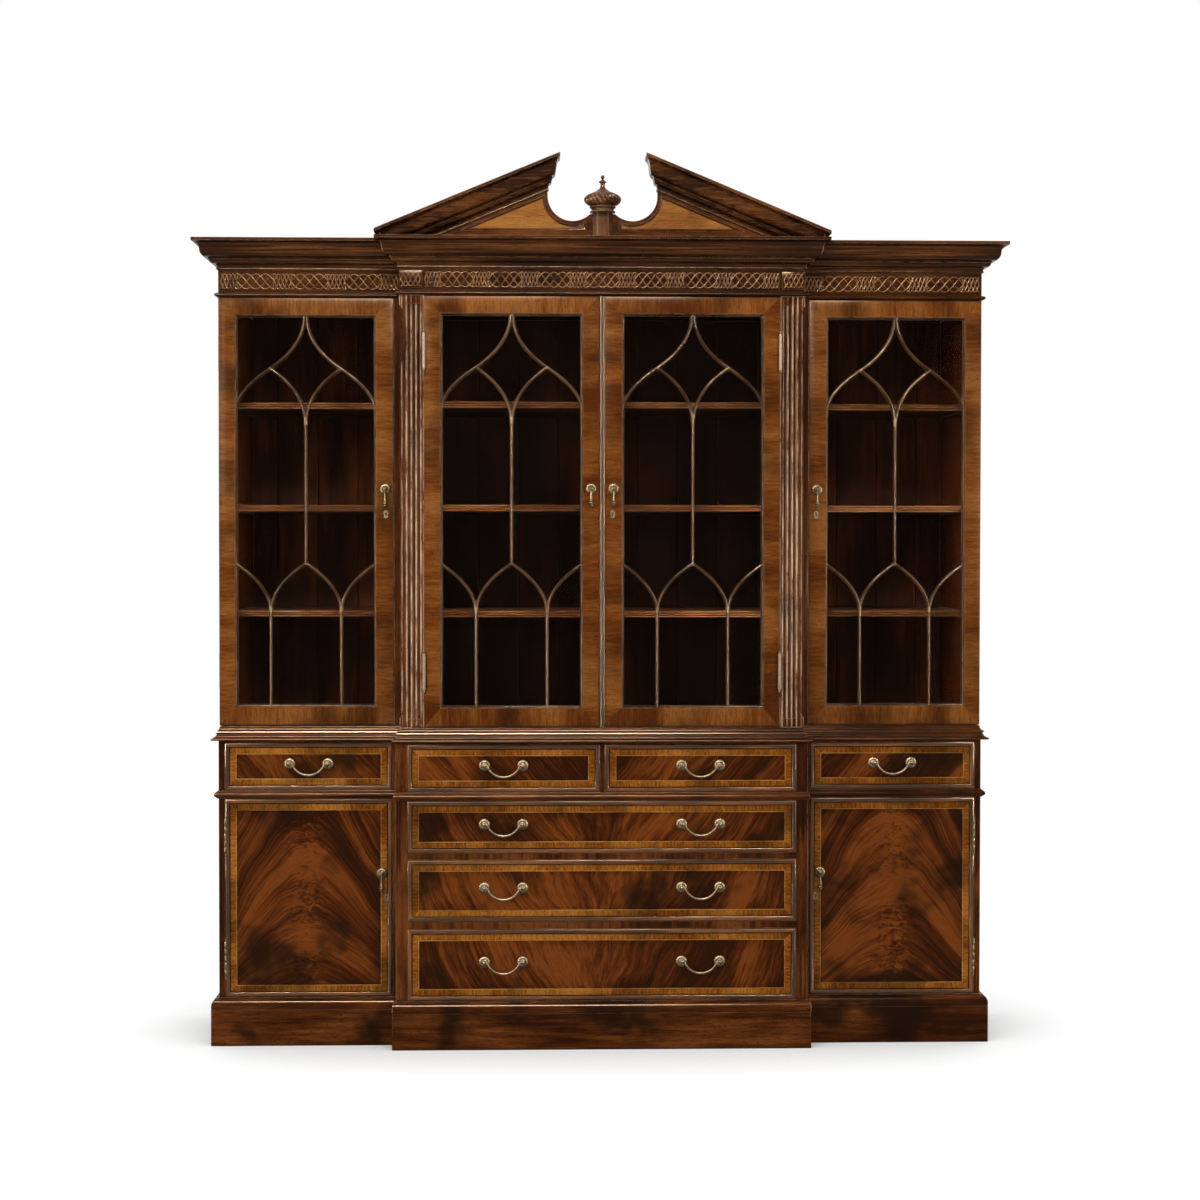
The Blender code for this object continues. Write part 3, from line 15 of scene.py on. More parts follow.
import bmesh
import bpy
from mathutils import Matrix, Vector


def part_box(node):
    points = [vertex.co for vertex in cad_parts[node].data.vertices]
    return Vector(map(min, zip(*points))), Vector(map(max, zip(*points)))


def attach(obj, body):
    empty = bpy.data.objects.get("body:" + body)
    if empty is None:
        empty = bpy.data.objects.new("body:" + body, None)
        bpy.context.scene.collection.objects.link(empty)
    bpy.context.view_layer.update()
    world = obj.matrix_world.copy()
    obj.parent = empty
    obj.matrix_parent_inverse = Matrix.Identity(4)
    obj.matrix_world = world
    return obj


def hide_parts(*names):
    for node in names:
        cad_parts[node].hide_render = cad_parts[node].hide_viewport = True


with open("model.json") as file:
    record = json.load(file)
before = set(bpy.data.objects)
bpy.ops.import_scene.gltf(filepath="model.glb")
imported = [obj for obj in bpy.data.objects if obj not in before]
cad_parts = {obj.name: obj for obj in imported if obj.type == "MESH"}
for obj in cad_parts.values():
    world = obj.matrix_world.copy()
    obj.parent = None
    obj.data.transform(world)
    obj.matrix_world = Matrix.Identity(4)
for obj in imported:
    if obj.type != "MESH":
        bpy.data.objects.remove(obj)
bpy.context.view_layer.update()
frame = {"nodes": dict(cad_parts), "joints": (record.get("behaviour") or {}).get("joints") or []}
joint_places = {joint["name"]: Vector(joint["pos_m"]) for joint in frame["joints"] if "pos_m" in joint}
bpy.ops.object.select_all(action="DESELECT")

# %% [markdown]
# ## The camera
#
# The photograph was taken from a little left of the middle, at chest height and almost level, so upright
# lines stay upright. A camera has only a place, a direction and a lens. These were worked out from the
# cabinet's own right angles, which is why they aren't round numbers.

# %% Camera
CAMERA_PLACE = (-0.1672, -5.801, 1.349)
CAMERA_TILT = math.radians(90 - 1.324)
CAMERA_TURN = math.radians(-1.639)
CAMERA_ROLL = -0.0009
LENS_MM = 62.17
SENSOR_MM = 36

bpy.ops.object.camera_add(location=CAMERA_PLACE, rotation=(CAMERA_TILT, CAMERA_ROLL, CAMERA_TURN))
camera = bpy.context.object
camera.data.lens = LENS_MM
camera.data.sensor_width = SENSOR_MM
bpy.context.scene.camera = camera
print("camera", tuple(camera.location))

# %% [markdown]
# ## Light and ground
#
# A studio lights dark, glossy wood with large soft lamps, because small ones leave hard spots on every bead.
# A wide lamp from the front left models the doors, and a long narrow strip high in front draws the bright
# lines along the mouldings. Such lines need far more light than the wood itself, so narrow strips above and
# at both sides show only in the gloss. The background is white only for rays that the camera, a gloss or the
# glass sends out, so it adds no light to the wood. Where the plinth stands close to the floor, the floor's
# glow is dimmed by an Ambient Occlusion node: a painted contact shadow.

# %% Lamps
KEY_POWER = 105
STRIP_POWER = 105
GLINT_POWER, SIDE_GLINT_POWER = 1600, 850
FILL_POWER = 34


def add_lamp(name, place, target, size, power):
    """A rectangular soft lamp that looks at a target."""
    bpy.ops.object.light_add(type="AREA", location=place)
    lamp = bpy.context.object
    lamp.name = name
    lamp.data.shape = "RECTANGLE"
    lamp.data.size, lamp.data.size_y = size
    lamp.data.energy = power
    lamp.rotation_euler = (Vector(target) - Vector(place)).to_track_quat("-Z", "Y").to_euler()
    return lamp


add_lamp("key_lamp", (-3.4, -4.4, 2.9), (0, 0, 1.2), (1.6, 1.6), KEY_POWER)
add_lamp("strip_lamp", (0.0, -3.1, 4.3), (0, 0, 1.2), (3.4, 0.10), STRIP_POWER)
add_lamp("fill_lamp", (3.4, -4.2, 1.6), (0, 0, 1.1), (0.5, 2.6), FILL_POWER)
glints = [add_lamp("glint_lamp", (-0.6, -3.6, 4.2), (0, 0, 1.2), (2.6, 0.10), GLINT_POWER)]
for side, name in ((-1, "left_glint_lamp"), (1, "right_glint_lamp")):
    glints.append(add_lamp(name, (side * 4.2, -3.0, 1.8), (0, 0, 1.4), (0.10, 3.0), SIDE_GLINT_POWER))
for lamp in glints:
    lamp.visible_diffuse = False
print("lamps:", KEY_POWER + STRIP_POWER + FILL_POWER, "watts on the wood")

# %% [markdown]
# ## Writing a node tree as a formula
#
# Every finish on this cabinet is a node tree, because a procedural pattern stays sharp from any distance and
# runs through the wood from one face to the next. Dozens of nodes wired one by one are slow to read. With a
# few helpers a material reads like a formula instead: each call adds one node and hands back its output for
# the next call to use.

# %% Small helpers for node trees


def put(tree, socket, value):
    """Wires a value to a socket where it comes from a node, and otherwise types it in."""
    if isinstance(value, bpy.types.NodeSocket):
        tree.links.new(value, socket)
    else:
        socket.default_value = value


def add_node(tree, kind, inputs=None, **settings):
    """A node with its settings made and its named inputs filled."""
    made = tree.nodes.new(kind)
    for setting, value in settings.items():
        setattr(made, setting, value)
    for socket, value in (inputs or {}).items():
        put(tree, made.inputs[socket], value)
    return made


def calc(tree, operation, *values, clamp=False):
    """One step of arithmetic."""
    made = add_node(tree, "ShaderNodeMath", dict(enumerate(values)), operation=operation, use_clamp=clamp)
    return made.outputs[0]


def times(tree, *values):
    """The product of its values."""
    product, *others = values
    for value in others:
        product = calc(tree, "MULTIPLY", product, value)
    return product


def plus(tree, *values):
    """The sum of its values."""
    total, *others = values
    for value in others:
        total = calc(tree, "ADD", total, value)
    return total


def minus(tree, first, second):
    return calc(tree, "SUBTRACT", first, second)


def sloped(tree, value, slope, start):
    """A straight line: start where the value is 0, and slope more for each 1."""
    return calc(tree, "MULTIPLY_ADD", value, slope, start)


def blend_colours(tree, factor, first, second):
    """Mixes two colours."""
    made = add_node(tree, "ShaderNodeMix", data_type="RGBA")
    for socket, value in ((0, factor), (6, first), (7, second)):
        put(tree, made.inputs[socket], value)
    return made.outputs[2]


def object_place(tree):
    """The place on the piece, in the cabinet's own frame."""
    return tree.nodes.new("ShaderNodeTexCoord").outputs["Object"]


def parts(tree, vector):
    """The X, Y and Z of a vector."""
    split = add_node(tree, "ShaderNodeSeparateXYZ", {0: vector}).outputs
    return split["X"], split["Y"], split["Z"]


def axes(tree):
    """The X, Y and Z of the place on the piece."""
    return parts(tree, object_place(tree))


def pack(tree, *values):
    """A vector from three values."""
    return add_node(tree, "ShaderNodeCombineXYZ", dict(enumerate(values))).outputs[0]


def noise(tree, place, detail=3.0, roughness=0.5, distortion=0.0):
    """Cloudy values from 0 to 1 at places that are already scaled."""
    inputs = {"Vector": place, "Scale": 1.0, "Detail": detail, "Roughness": roughness, "Distortion": distortion}
    return add_node(tree, "ShaderNodeTexNoise", inputs).outputs["Fac"]


def stretch(tree, place, scale, shift=(0, 0, 0)):
    """Scales and shifts the places that a pattern is read at."""
    return add_node(tree, "ShaderNodeMapping", {"Vector": place, "Scale": scale, "Location": shift}).outputs[0]


def cloud(tree, per_m, shift=(0, 0, 0), **look):
    """Noise on the piece itself. per_m is how many clouds a metre holds, as one number or one for each axis."""
    scale = per_m if isinstance(per_m, tuple) else (per_m, per_m, per_m)
    return noise(tree, stretch(tree, object_place(tree), scale, shift), **look)


def ramp(tree, factor, stops):
    """A colour ramp from a list of positions and colours."""
    made = add_node(tree, "ShaderNodeValToRGB", {"Fac": factor})
    knots = made.color_ramp.elements
    while len(knots) < len(stops):
        knots.new(0.5)
    for knot, (position, colour) in zip(knots, stops):
        knot.position = position
        knot.color = (*colour, 1)
    return made.outputs["Color"]


def span(tree, value, low, high):
    """Stretches the stretch from low to high over 0 to 1."""
    inputs = {"Value": value, "From Min": low, "From Max": high}
    return add_node(tree, "ShaderNodeMapRange", inputs, interpolation_type="SMOOTHSTEP").outputs[0]


def new_material(name):
    """A material with its node tree and its shader."""
    material = bpy.data.materials.new(name)
    material.use_nodes = True
    return material, material.node_tree, material.node_tree.nodes["Principled BSDF"]


def roughen(tree, shader, height, strength, distance):
    """Raises a pattern from the surface as a shallow bump."""
    bump = add_node(tree, "ShaderNodeBump", {"Strength": strength, "Distance": distance, "Height": height})
    put(tree, shader.inputs["Normal"], bump.outputs[0])


print("node helpers ready")

# %% World and floor
WHITE = (1, 1, 1, 1)
WORLD_STRENGTH = 0.36
FLOOR_COLOUR = (0.80, 0.80, 0.79, 1)
FLOOR_ROUGHNESS, FLOOR_SIZE = 0.9, 60
FLOOR_GLOW, FLOOR_GLOW_SHARE, CONTACT_SHADOW_REACH = 1.46, 0.62, 0.55


def seen_rays(tree):
    """1 for rays from the camera, from a gloss and through glass."""
    path = tree.nodes.new("ShaderNodeLightPath").outputs
    either = calc(tree, "MAXIMUM", path["Is Camera Ray"], path["Is Glossy Ray"])
    return calc(tree, "MAXIMUM", either, path["Is Transmission Ray"])


world = bpy.data.worlds.new("studio")
bpy.context.scene.world = world
world.use_nodes = True
air = world.node_tree
seen = seen_rays(air)
put(air, air.nodes["Background"].inputs["Color"], WHITE)
put(air, air.nodes["Background"].inputs["Strength"], sloped(air, seen, 1 - WORLD_STRENGTH, WORLD_STRENGTH))

bpy.ops.mesh.primitive_plane_add(size=FLOOR_SIZE)
floor = bpy.context.object
floor.name = "studio_floor"
paint, tree, shader = new_material("studio_floor_paint")
put(tree, shader.inputs["Base Color"], FLOOR_COLOUR)
put(tree, shader.inputs["Roughness"], FLOOR_ROUGHNESS)
put(tree, shader.inputs["Specular IOR Level"], 0.0)
# Ambient Occlusion dims the floor's glow near the cabinet, which paints a contact shadow on the floor.
contact_shadow_fade = add_node(tree, "ShaderNodeAmbientOcclusion", {"Distance": CONTACT_SHADOW_REACH}, samples=8).outputs["AO"]
glow = add_node(tree, "ShaderNodeEmission", {"Color": WHITE, "Strength": times(tree, contact_shadow_fade, FLOOR_GLOW)})
share = times(tree, seen_rays(tree), FLOOR_GLOW_SHARE)
both = add_node(tree, "ShaderNodeMixShader", {0: share, 1: shader.outputs[0], 2: glow.outputs[0]})
put(tree, tree.nodes["Material Output"].inputs["Surface"], both.outputs[0])
floor.data.materials.append(paint)
bpy.context.scene.view_settings.view_transform = "Standard"
print("floor and world ready")

# %% [markdown]
# ## Polished wood
#
# Old polished wood has four things at once: a slow drift of colour across the board, streaks and pores that
# run along the grain, a dark glaze that has gathered in every corner, and pale rubbed edges. One function
# makes them all. The grain is noise that is squeezed across the board and drawn out along it, so the only
# thing that changes from board to board is which way "along" points. An Ambient Occlusion node finds the
# corners, where the colour is darkened as glaze and as painted shade, and the same node looking inwards
# finds the edges that hands have rubbed.

# %% Wood
# The first colour is the dark of pores, clouds and specks, and also the glaze and painted shade in corners.
GLAZE_AND_SHADE, GLOSS_TINT = (0.006, 0.0018, 0.0005, 1), (1.0, 0.66, 0.42, 1)
GLAZE_AND_SHADE_REACH, WEAR_REACH = 0.009, 0.0030
DRIFT_PER_M, STREAKS_PER_M, PORES_PER_M, PORE_LENGTH = (9, 2.0, 9), 75, 900, 26
CLOUDS_PER_M, CLOUD_SHIFT, SPOTS_PER_M, PATCHES_PER_M = 5.5, (3, 1, 4), 190, 38
MIDDLE_STOP, DARK_STEP, LIGHT_STEP, RUBBED_STOP = 0.49, 0.09, 0.11, 0.9
PORE_RANGE, CLOUD_RANGE, SPOT_RANGE = (0.34, 0.50), (0.50, 0.32), (0.60, 0.72)
EDGE_RANGE, PATCH_RANGE, CORNER_RANGE = (0.16, 0.50), (0.32, 0.56), (0.06, 0.50)
PORE_SHADE, CORNER_HOLD, DULLING, GRAIN_BUMP = 0.45, 0.75, 0.12, 0.10
GRAIN_ORDER = {"level": (2, 0, 1), "deep": (2, 1, 0), "upright": (0, 2, 1)}


def grain(way):
    """Places read so that X runs across the grain and Y along it, on a level, deep or upright board."""

    def places(tree):
        place = axes(tree)
        return pack(tree, *(place[axis] for axis in GRAIN_ORDER[way]))

    return places


def near_surfaces(tree, reach, inside=False):
    """1 where another surface lies within reach, 0 in the open."""
    found = add_node(tree, "ShaderNodeAmbientOcclusion", {"Distance": reach}, samples=6, inside=inside)
    found.only_local = inside
    return minus(tree, 1.0, found.outputs["AO"])


def wood(name, tones, places, worn, roughness=0.18, streak=STREAKS_PER_M, length=14, wear=0.55, glaze=0.97,
         contrast=0.5, shade=0.5, gloss=0.075, specks=0.55, spread=1.0, relief=0.0006, extra=None):
    """A polished wood with three or four tones from dark to light, and a paler tone where it is rubbed."""
    material, tree, shader = new_material(name)
    flow = places(tree)
    drift = noise(tree, stretch(tree, flow, DRIFT_PER_M), detail=2.0)
    bands = noise(tree, stretch(tree, flow, (streak, streak / length, streak)), detail=5.0, roughness=0.66)
    pores = noise(tree, stretch(tree, flow, (PORES_PER_M, PORES_PER_M / PORE_LENGTH, PORES_PER_M)), detail=1.0)
    clouds = cloud(tree, CLOUDS_PER_M, CLOUD_SHIFT, detail=3.0, roughness=0.55)
    spots = cloud(tree, SPOTS_PER_M, detail=2.0, roughness=0.6)
    patches = cloud(tree, PATCHES_PER_M, detail=4.0, roughness=0.6)
    # Near other surfaces the colour darkens: glaze in the corners, and painted shade there as well.
    corner = span(tree, near_surfaces(tree, GLAZE_AND_SHADE_REACH), *CORNER_RANGE)
    edge = span(tree, near_surfaces(tree, WEAR_REACH, inside=True), *EDGE_RANGE)
    mixed = plus(tree, times(tree, drift, 1 - contrast), times(tree, bands, contrast))
    if extra:
        mixed = extra(tree, mixed)
    stops = (MIDDLE_STOP - DARK_STEP / spread, MIDDLE_STOP, MIDDLE_STOP + LIGHT_STEP / spread, RUBBED_STOP)
    colour = ramp(tree, mixed, list(zip(stops, tones)))
    glazed = (
        sloped(tree, span(tree, pores, *PORE_RANGE), -PORE_SHADE, PORE_SHADE),
        times(tree, span(tree, clouds, *CLOUD_RANGE), shade),
        times(tree, span(tree, spots, *SPOT_RANGE), specks),
        times(tree, corner, glaze),
    )
    for cover in glazed:
        colour = blend_colours(tree, cover, colour, GLAZE_AND_SHADE)
    rub = times(tree, edge, span(tree, patches, *PATCH_RANGE), wear(tree) if callable(wear) else wear,
                sloped(tree, corner, -CORNER_HOLD, 1.0))
    colour = blend_colours(tree, rub, colour, (*worn, 1))
    put(tree, shader.inputs["Base Color"], colour)
    sheen = sloped(tree, patches, DULLING, roughness - DULLING / 2)
    put(tree, shader.inputs["Roughness"], sloped(tree, corner, DULLING, sheen))
    shader.inputs["Specular IOR Level"].default_value = gloss
    shader.inputs["Specular Tint"].default_value = GLOSS_TINT
    roughen(tree, shader, bands, GRAIN_BUMP, relief)
    return material


def woods(name, ways, tones, worn, **look):
    """The same wood on boards that lie different ways."""
    return [wood(f"{name}_{way}", tones, grain(way), worn, **look) for way in ways]


CASE_TONES = ((0.020, 0.0036, 0.0004), (0.062, 0.0140, 0.0020), (0.135, 0.038, 0.0075))
RUBBED_CASE, RUBBED_VENEER = (0.30, 0.155, 0.080), (0.36, 0.19, 0.10)
wood_level, wood_deep = woods("polished_wood", ("level", "deep"), CASE_TONES, RUBBED_CASE)
print("first woods:", wood_level.name, wood_deep.name)

# %% [markdown]
# ## Old glass
#
# The panes are thin, a little wavy and almost clear. A glass shader bends light, so behind it everything
# would stand in full shadow. A Light Path node gives the shadow rays a transparent shader instead, and the
# cases are then lit through their panes as they are in a room.

# %% Glass
PANE_TINT, PANE_BEND, WAVES_PER_M = (0.96, 0.98, 0.97, 1), 1.06, (9, 9, 5)
PANE_ROUGHNESS, PANE_BUMP, PANE_RELIEF = 0.02, 0.05, 0.002


def clear_glass(name):
    """Thin old glass that lets shadow rays straight through."""
    material, tree, shader = new_material(name)
    shader.inputs["Base Color"].default_value = PANE_TINT
    shader.inputs["Transmission Weight"].default_value = 1.0
    shader.inputs["IOR"].default_value = PANE_BEND
    waves = cloud(tree, WAVES_PER_M, detail=2.0)
    put(tree, shader.inputs["Roughness"], times(tree, waves, PANE_ROUGHNESS))
    roughen(tree, shader, waves, PANE_BUMP, PANE_RELIEF)
    shadow = tree.nodes.new("ShaderNodeLightPath").outputs["Is Shadow Ray"]
    open_way = tree.nodes.new("ShaderNodeBsdfTransparent")
    mixed = add_node(tree, "ShaderNodeMixShader", {0: shadow, 1: shader.outputs[0], 2: open_way.outputs[0]})
    put(tree, tree.nodes["Material Output"].inputs["Surface"], mixed.outputs[0])
    return material


window_glass = clear_glass("window_glass_old")
print("glass:", window_glass.name)

# %% [markdown]
# ## Working by hand, in code
#
# Every new piece is shaped the way a person would do it at the screen: add a primitive, open it in edit
# mode, pick some faces or points, then inset, extrude, bevel or cut. The only difference is that the picking
# is done by a test on place or direction, because there is no mouse. These few helpers keep each step short.

# %% Opening, picking and closing a piece
SAME_PLACE = 0.00002
SMOOTH_BELOW = math.radians(38)
SELECT_KINDS = {"faces": "FACE", "edges": "EDGE", "verts": "VERT"}


def calm():
    bpy.ops.object.select_all(action="DESELECT")


def take(*pieces):
    """Picks these pieces and nothing else, and works on the first of them."""
    calm()
    for piece in pieces:
        piece.select_set(True)
    bpy.context.view_layer.objects.active = pieces[0]


def shape(piece):
    """Opens a piece in edit mode with nothing picked."""
    take(piece)
    bpy.ops.object.mode_set(mode="EDIT")
    bpy.ops.mesh.select_all(action="DESELECT")


def rest():
    """Goes back to object mode."""
    bpy.ops.object.mode_set(mode="OBJECT")
    return bpy.context.object


def pick(kind, test):
    """Picks the faces, edges or points that pass a test."""
    bpy.ops.mesh.select_mode(type=SELECT_KINDS[kind])
    bpy.ops.mesh.select_all(action="DESELECT")
    mesh = bmesh.from_edit_mesh(bpy.context.object.data)
    for item in getattr(mesh, kind):
        if test(item):
            item.select_set(True)
    bmesh.update_edit_mesh(bpy.context.object.data)


def pick_all():
    bpy.ops.mesh.select_all(action="SELECT")


def push(value):
    """Extrudes what is picked by a shift."""
    bpy.ops.mesh.extrude_region_move(TRANSFORM_OT_translate={"value": Vector(value)})


def weld(piece, smooth=SMOOTH_BELOW):
    """Merges doubled points, turns the faces outwards and smooths all but the sharp edges."""
    shape(piece)
    pick_all()
    bpy.ops.mesh.remove_doubles(threshold=SAME_PLACE)
    bpy.ops.mesh.normals_make_consistent(inside=False)
    rest()
    bpy.ops.object.shade_smooth_by_angle(angle=smooth)
    return piece


def gather(pieces):
    """Joins pieces to one."""
    take(*pieces)
    if len(pieces) > 1:
        bpy.ops.object.join()
    return bpy.context.object


def fix_place():
    """Moves what is picked into its own mesh, so that the object itself sits at the origin."""
    bpy.ops.object.transform_apply(location=True, rotation=True, scale=True)


def modify(piece, kind, **settings):
    """Adds a modifier and applies it."""
    take(piece)
    made = piece.modifiers.new(kind.lower(), kind)
    for setting, value in settings.items():
        setattr(made, setting, value)
    bpy.ops.object.modifier_apply(modifier=made.name)
    return piece


def carve(piece, cutter):
    """Takes the cutter's shape out of a piece, and throws the cutter away."""
    modify(piece, "BOOLEAN", object=cutter, operation="DIFFERENCE", solver="EXACT")
    bpy.data.objects.remove(cutter)
    return piece


def paint_all(piece, *materials):
    """Gives a piece its materials, the first of them everywhere."""
    piece.data.materials.clear()
    for material in materials:
        piece.data.materials.append(material)
    return piece


def finish_picked(index):
    """Gives the picked faces the material of this number."""
    bpy.context.object.active_material_index = index
    bpy.ops.object.material_slot_assign()


def settle(piece, name, body, slot, *stands_for):
    """Names a finished piece, sets it on what it moves with, and hides the nodes it stands for. The slot is not used.
    """
    piece.name = name
    piece.data.name = name
    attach(piece, body)
    if stands_for:
        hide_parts(*stands_for)
    return piece


CASE = "cabinet_case"
print("edit helpers ready")

# %% Boards, outlines and copies


def board(low, high, bevel=0.0):
    """A squared board between two corners, with its arrises eased."""
    calm()
    middle = [(a + b) / 2 for a, b in zip(low, high)]
    bpy.ops.mesh.primitive_cube_add(size=1, location=middle)
    piece = bpy.context.object
    piece.scale = [b - a for a, b in zip(low, high)]
    fix_place()
    if bevel:
        shape(piece)
        pick_all()
        bpy.ops.mesh.bevel(offset=bevel, segments=2)
        rest()
    return piece


def outline(points, closed=True):
    """A line through points, left open in edit mode with all of it picked."""
    calm()
    bpy.ops.mesh.primitive_plane_add(size=0.01)
    bpy.ops.object.mode_set(mode="EDIT")
    bpy.ops.mesh.select_mode(type="VERT")
    pick_all()
    bpy.ops.mesh.merge(type="CENTER")
    places = [Vector(point) for point in points]
    if closed:
        places.append(places[0].copy())
    bpy.ops.transform.translate(value=places[0])
    for before, after in zip(places, places[1:]):
        bpy.ops.mesh.extrude_vertices_move(TRANSFORM_OT_translate={"value": after - before})
    pick_all()
    if closed:
        bpy.ops.mesh.remove_doubles(threshold=SAME_PLACE / 4)
    return bpy.context.object


def slab(points, thickness):
    """Fills an outline and pushes it out to a slab."""
    outline(points)
    bpy.ops.mesh.edge_face_add()
    push(thickness)
    return weld(rest())


def copy_of(piece, offset=(0, 0, 0), mirror=False):
    """A copy with its own mesh, shifted and perhaps mirrored left to right."""
    take(piece)
    bpy.ops.object.duplicate(linked=False)
    made = bpy.context.object
    made.location = offset
    if mirror:
        made.scale.x = -1
    fix_place()
    if mirror:
        shape(made)
        pick_all()
        bpy.ops.mesh.normals_make_consistent(inside=False)
        rest()
    return made


print("boards, outlines and copies ready")

# %% [markdown]
# ## Moulding sections
#
# A moulding is drawn as a joiner names it: a fillet (a flat line), a bead (a half round), an ovolo (a quarter
# round), a cavetto (a quarter hollow) and an ogee (one of each). Each row of a table gives the member and
# where it ends, as shares of the moulding's whole projection and height, so a section can be checked against
# the photograph member by member.

# %% Sections
CURVE_STEPS = 7
BEAD_SWELL = 0.45


def quarter(start, end, hollow):
    """A quarter of an ellipse that bulges out, or with hollow set curves in."""
    points = []
    for step in range(1, CURVE_STEPS + 1):
        angle = math.pi / 2 * step / CURVE_STEPS
        slow, fast = 1 - math.cos(angle), math.sin(angle)
        across, along = (slow, fast) if hollow else (fast, slow)
        points.append((start[0] + (end[0] - start[0]) * across, start[1] + (end[1] - start[1]) * along))
    return points


def moulding(rows, projection, height):
    """The points of a section, as projection and height, from its rows."""
    points = []
    for kind, out_share, up_share in rows:
        end = (out_share * projection, up_share * height)
        if kind == "line":
            points.append(end)
            continue
        start = points[-1]
        middle = ((start[0] + end[0]) / 2, (start[1] + end[1]) / 2)
        if kind == "round":
            points += quarter(start, end, hollow=False)
        elif kind == "hollow":
            points += quarter(start, end, hollow=True)
        elif kind == "ogee":
            points += quarter(start, middle, hollow=False) + quarter(middle, end, hollow=True)
        elif kind == "bead":
            swell = abs(end[1] - start[1]) * BEAD_SWELL
            for step in range(1, CURVE_STEPS + 1):
                turn = step / CURVE_STEPS
                bulge = swell * math.sin(math.pi * turn)
                points.append((start[0] + (end[0] - start[0]) * turn + bulge, start[1] + (end[1] - start[1]) * turn))
    return points


# %% [markdown]
# ## Running and mitring a moulding
#
# A joiner planes a moulding as one long strip, saws it at the corners and glues the mitres. The same order
# works here. The section is drawn at the start of each leg, extruded past the corner, and cut by a plane
# through the corner. The plane holds the line along which the two legs' sections meet, so legs that stand
# out by different amounts still meet exactly, as they have to at the sides of a breakfront.

# %% Runs
SPARE, HAIR = 0.02, 0.000001


def lay_run(section, corners, facings, scales=None, lift=(0, 0, 1), ring=False, closed=True, finishes=None,
            sections=None):
    """Runs a section along straight legs. Every corner but the free ends is mitred."""
    lift = Vector(lift)
    corners = [Vector(corner) for corner in corners]
    scales = scales or [1] * len(facings)
    fronts = [Vector(facing) * scale for facing, scale in zip(facings, scales)]
    legs = []
    for index, front in enumerate(fronts):
        start, end = corners[index], corners[(index + 1) % len(corners)]
        along = (end - start).normalized()
        member = sections[index] if sections else section
        reach = max(abs(out) for out, _ in member) * max(scales) + SPARE
        cut_start, cut_end = ring or index > 0, ring or index < len(fronts) - 1
        begin = start - along * reach if cut_start else start
        finish = end + along * reach if cut_end else end
        outline([begin + front * out + lift * up for out, up in member], closed)
        push(finish - begin)
        for cut, corner, other, way in ((cut_start, start, fronts[index - 1], -1),
                                        (cut_end, end, fronts[(index + 1) % len(fronts)], 1)):
            if cut:
                normal = (front + other).cross(lift)
                if normal.dot(along * way) < 0:
                    normal.negate()
                pick_all()
                bpy.ops.mesh.bisect(plane_co=corner, plane_no=normal, clear_outer=True, threshold=HAIR)
        leg = rest()
        if finishes:
            paint_all(leg, finishes[index])
        legs.append(leg)
    run = gather(legs)
    shape(run)
    pick_all()
    bpy.ops.mesh.remove_doubles(threshold=SAME_PLACE)
    rest()
    return run


def anywhere(place):
    return True


def cap(piece, test=anywhere):
    """Closes the open rim of a run, or the part of it that passes a test."""
    shape(piece)
    pick("edges", lambda edge: (edge.is_boundary or edge.is_wire) and all(test(end.co) for end in edge.verts))
    bpy.ops.mesh.edge_face_add()
    rest()
    return piece


def tie(piece, test):
    """Joins the two rim points that pass a test by an edge."""
    shape(piece)
    pick("verts", lambda point: point.is_boundary and test(point.co))
    bpy.ops.mesh.edge_face_add()
    rest()
    return piece


# %% [markdown]
# ## The plan of a breakfront
#
# A breakfront is a cabinet whose centre bay stands forward of its wings. Each of its mouldings follows the
# same plan of eight corners, at its own level and with its own set-backs. So the plan is a function, and one
# call lays a moulding all the way round. The planes below are those of the exact model.

# %% Levels and planes of the cabinet
CENTRE_Y, WING_Y, BACK_Y = -0.178, -0.115, 0.242
BASE_CENTRE_Y, BASE_WING_Y = -0.191, -0.128
BODY_X, CENTRE_X, BASE_X, BASE_CENTRE_X = 1.045, 0.549, 1.046, 0.560
GAP, NEAR = 0.0003, 0.0001
LEFT, RIGHT, FRONT = (-1, 0, 0), (1, 0, 0), (0, -1, 0)
BREAKFRONT_FACINGS = (LEFT, FRONT, LEFT, FRONT, RIGHT, FRONT, RIGHT)


def breakfront(body_x, centre_x, wing_y, centre_y, level):
    """The eight corners of a stage's plan, from the back left round the front to the back right."""
    left = [(-body_x, BACK_Y), (-body_x, wing_y), (-centre_x, wing_y), (-centre_x, centre_y)]
    right = [(-x, y) for x, y in reversed(left)]
    return [(x, y, level) for x, y in left + right]


def lay_breakfront(section, corners, scales=None, closed=True, pair=(wood_level, wood_deep)):
    """Runs a section round a breakfront stage, in a level and a deep wood, and closes its back ends."""
    finishes = [pair[1] if leg % 2 == 0 else pair[0] for leg in range(len(BREAKFRONT_FACINGS))]
    run = lay_run(section, corners, BREAKFRONT_FACINGS, scales, closed=closed, finishes=finishes)
    if closed:
        cap(run, lambda place: place.x < 0)
        cap(run, lambda place: place.x > 0)
    return run


def cap_level(run, level):
    """Closes a breakfront run across the whole plan at one level."""
    tie(run, lambda place: abs(place.z - level) < NEAR and abs(place.y - BACK_Y) < NEAR)
    cap(run, lambda place: abs(place.z - level) < NEAR)


print("breakfront steps forward by", round((WING_Y - CENTRE_Y) * 1000), "mm")

# %% [markdown]
# ## Plinth, waist and surbase
#
# The plinth is a plain board with a worn ovolo lip that the case stands in. The waist is one flat bead under
# the top drawers. The surbase is the base's top board, with two rounded edges and a groove between them. On
# the real cabinet the base's mouldings stand out less at the sides of the centre bay, so those legs are
# scaled down and the mitres adapt by themselves.

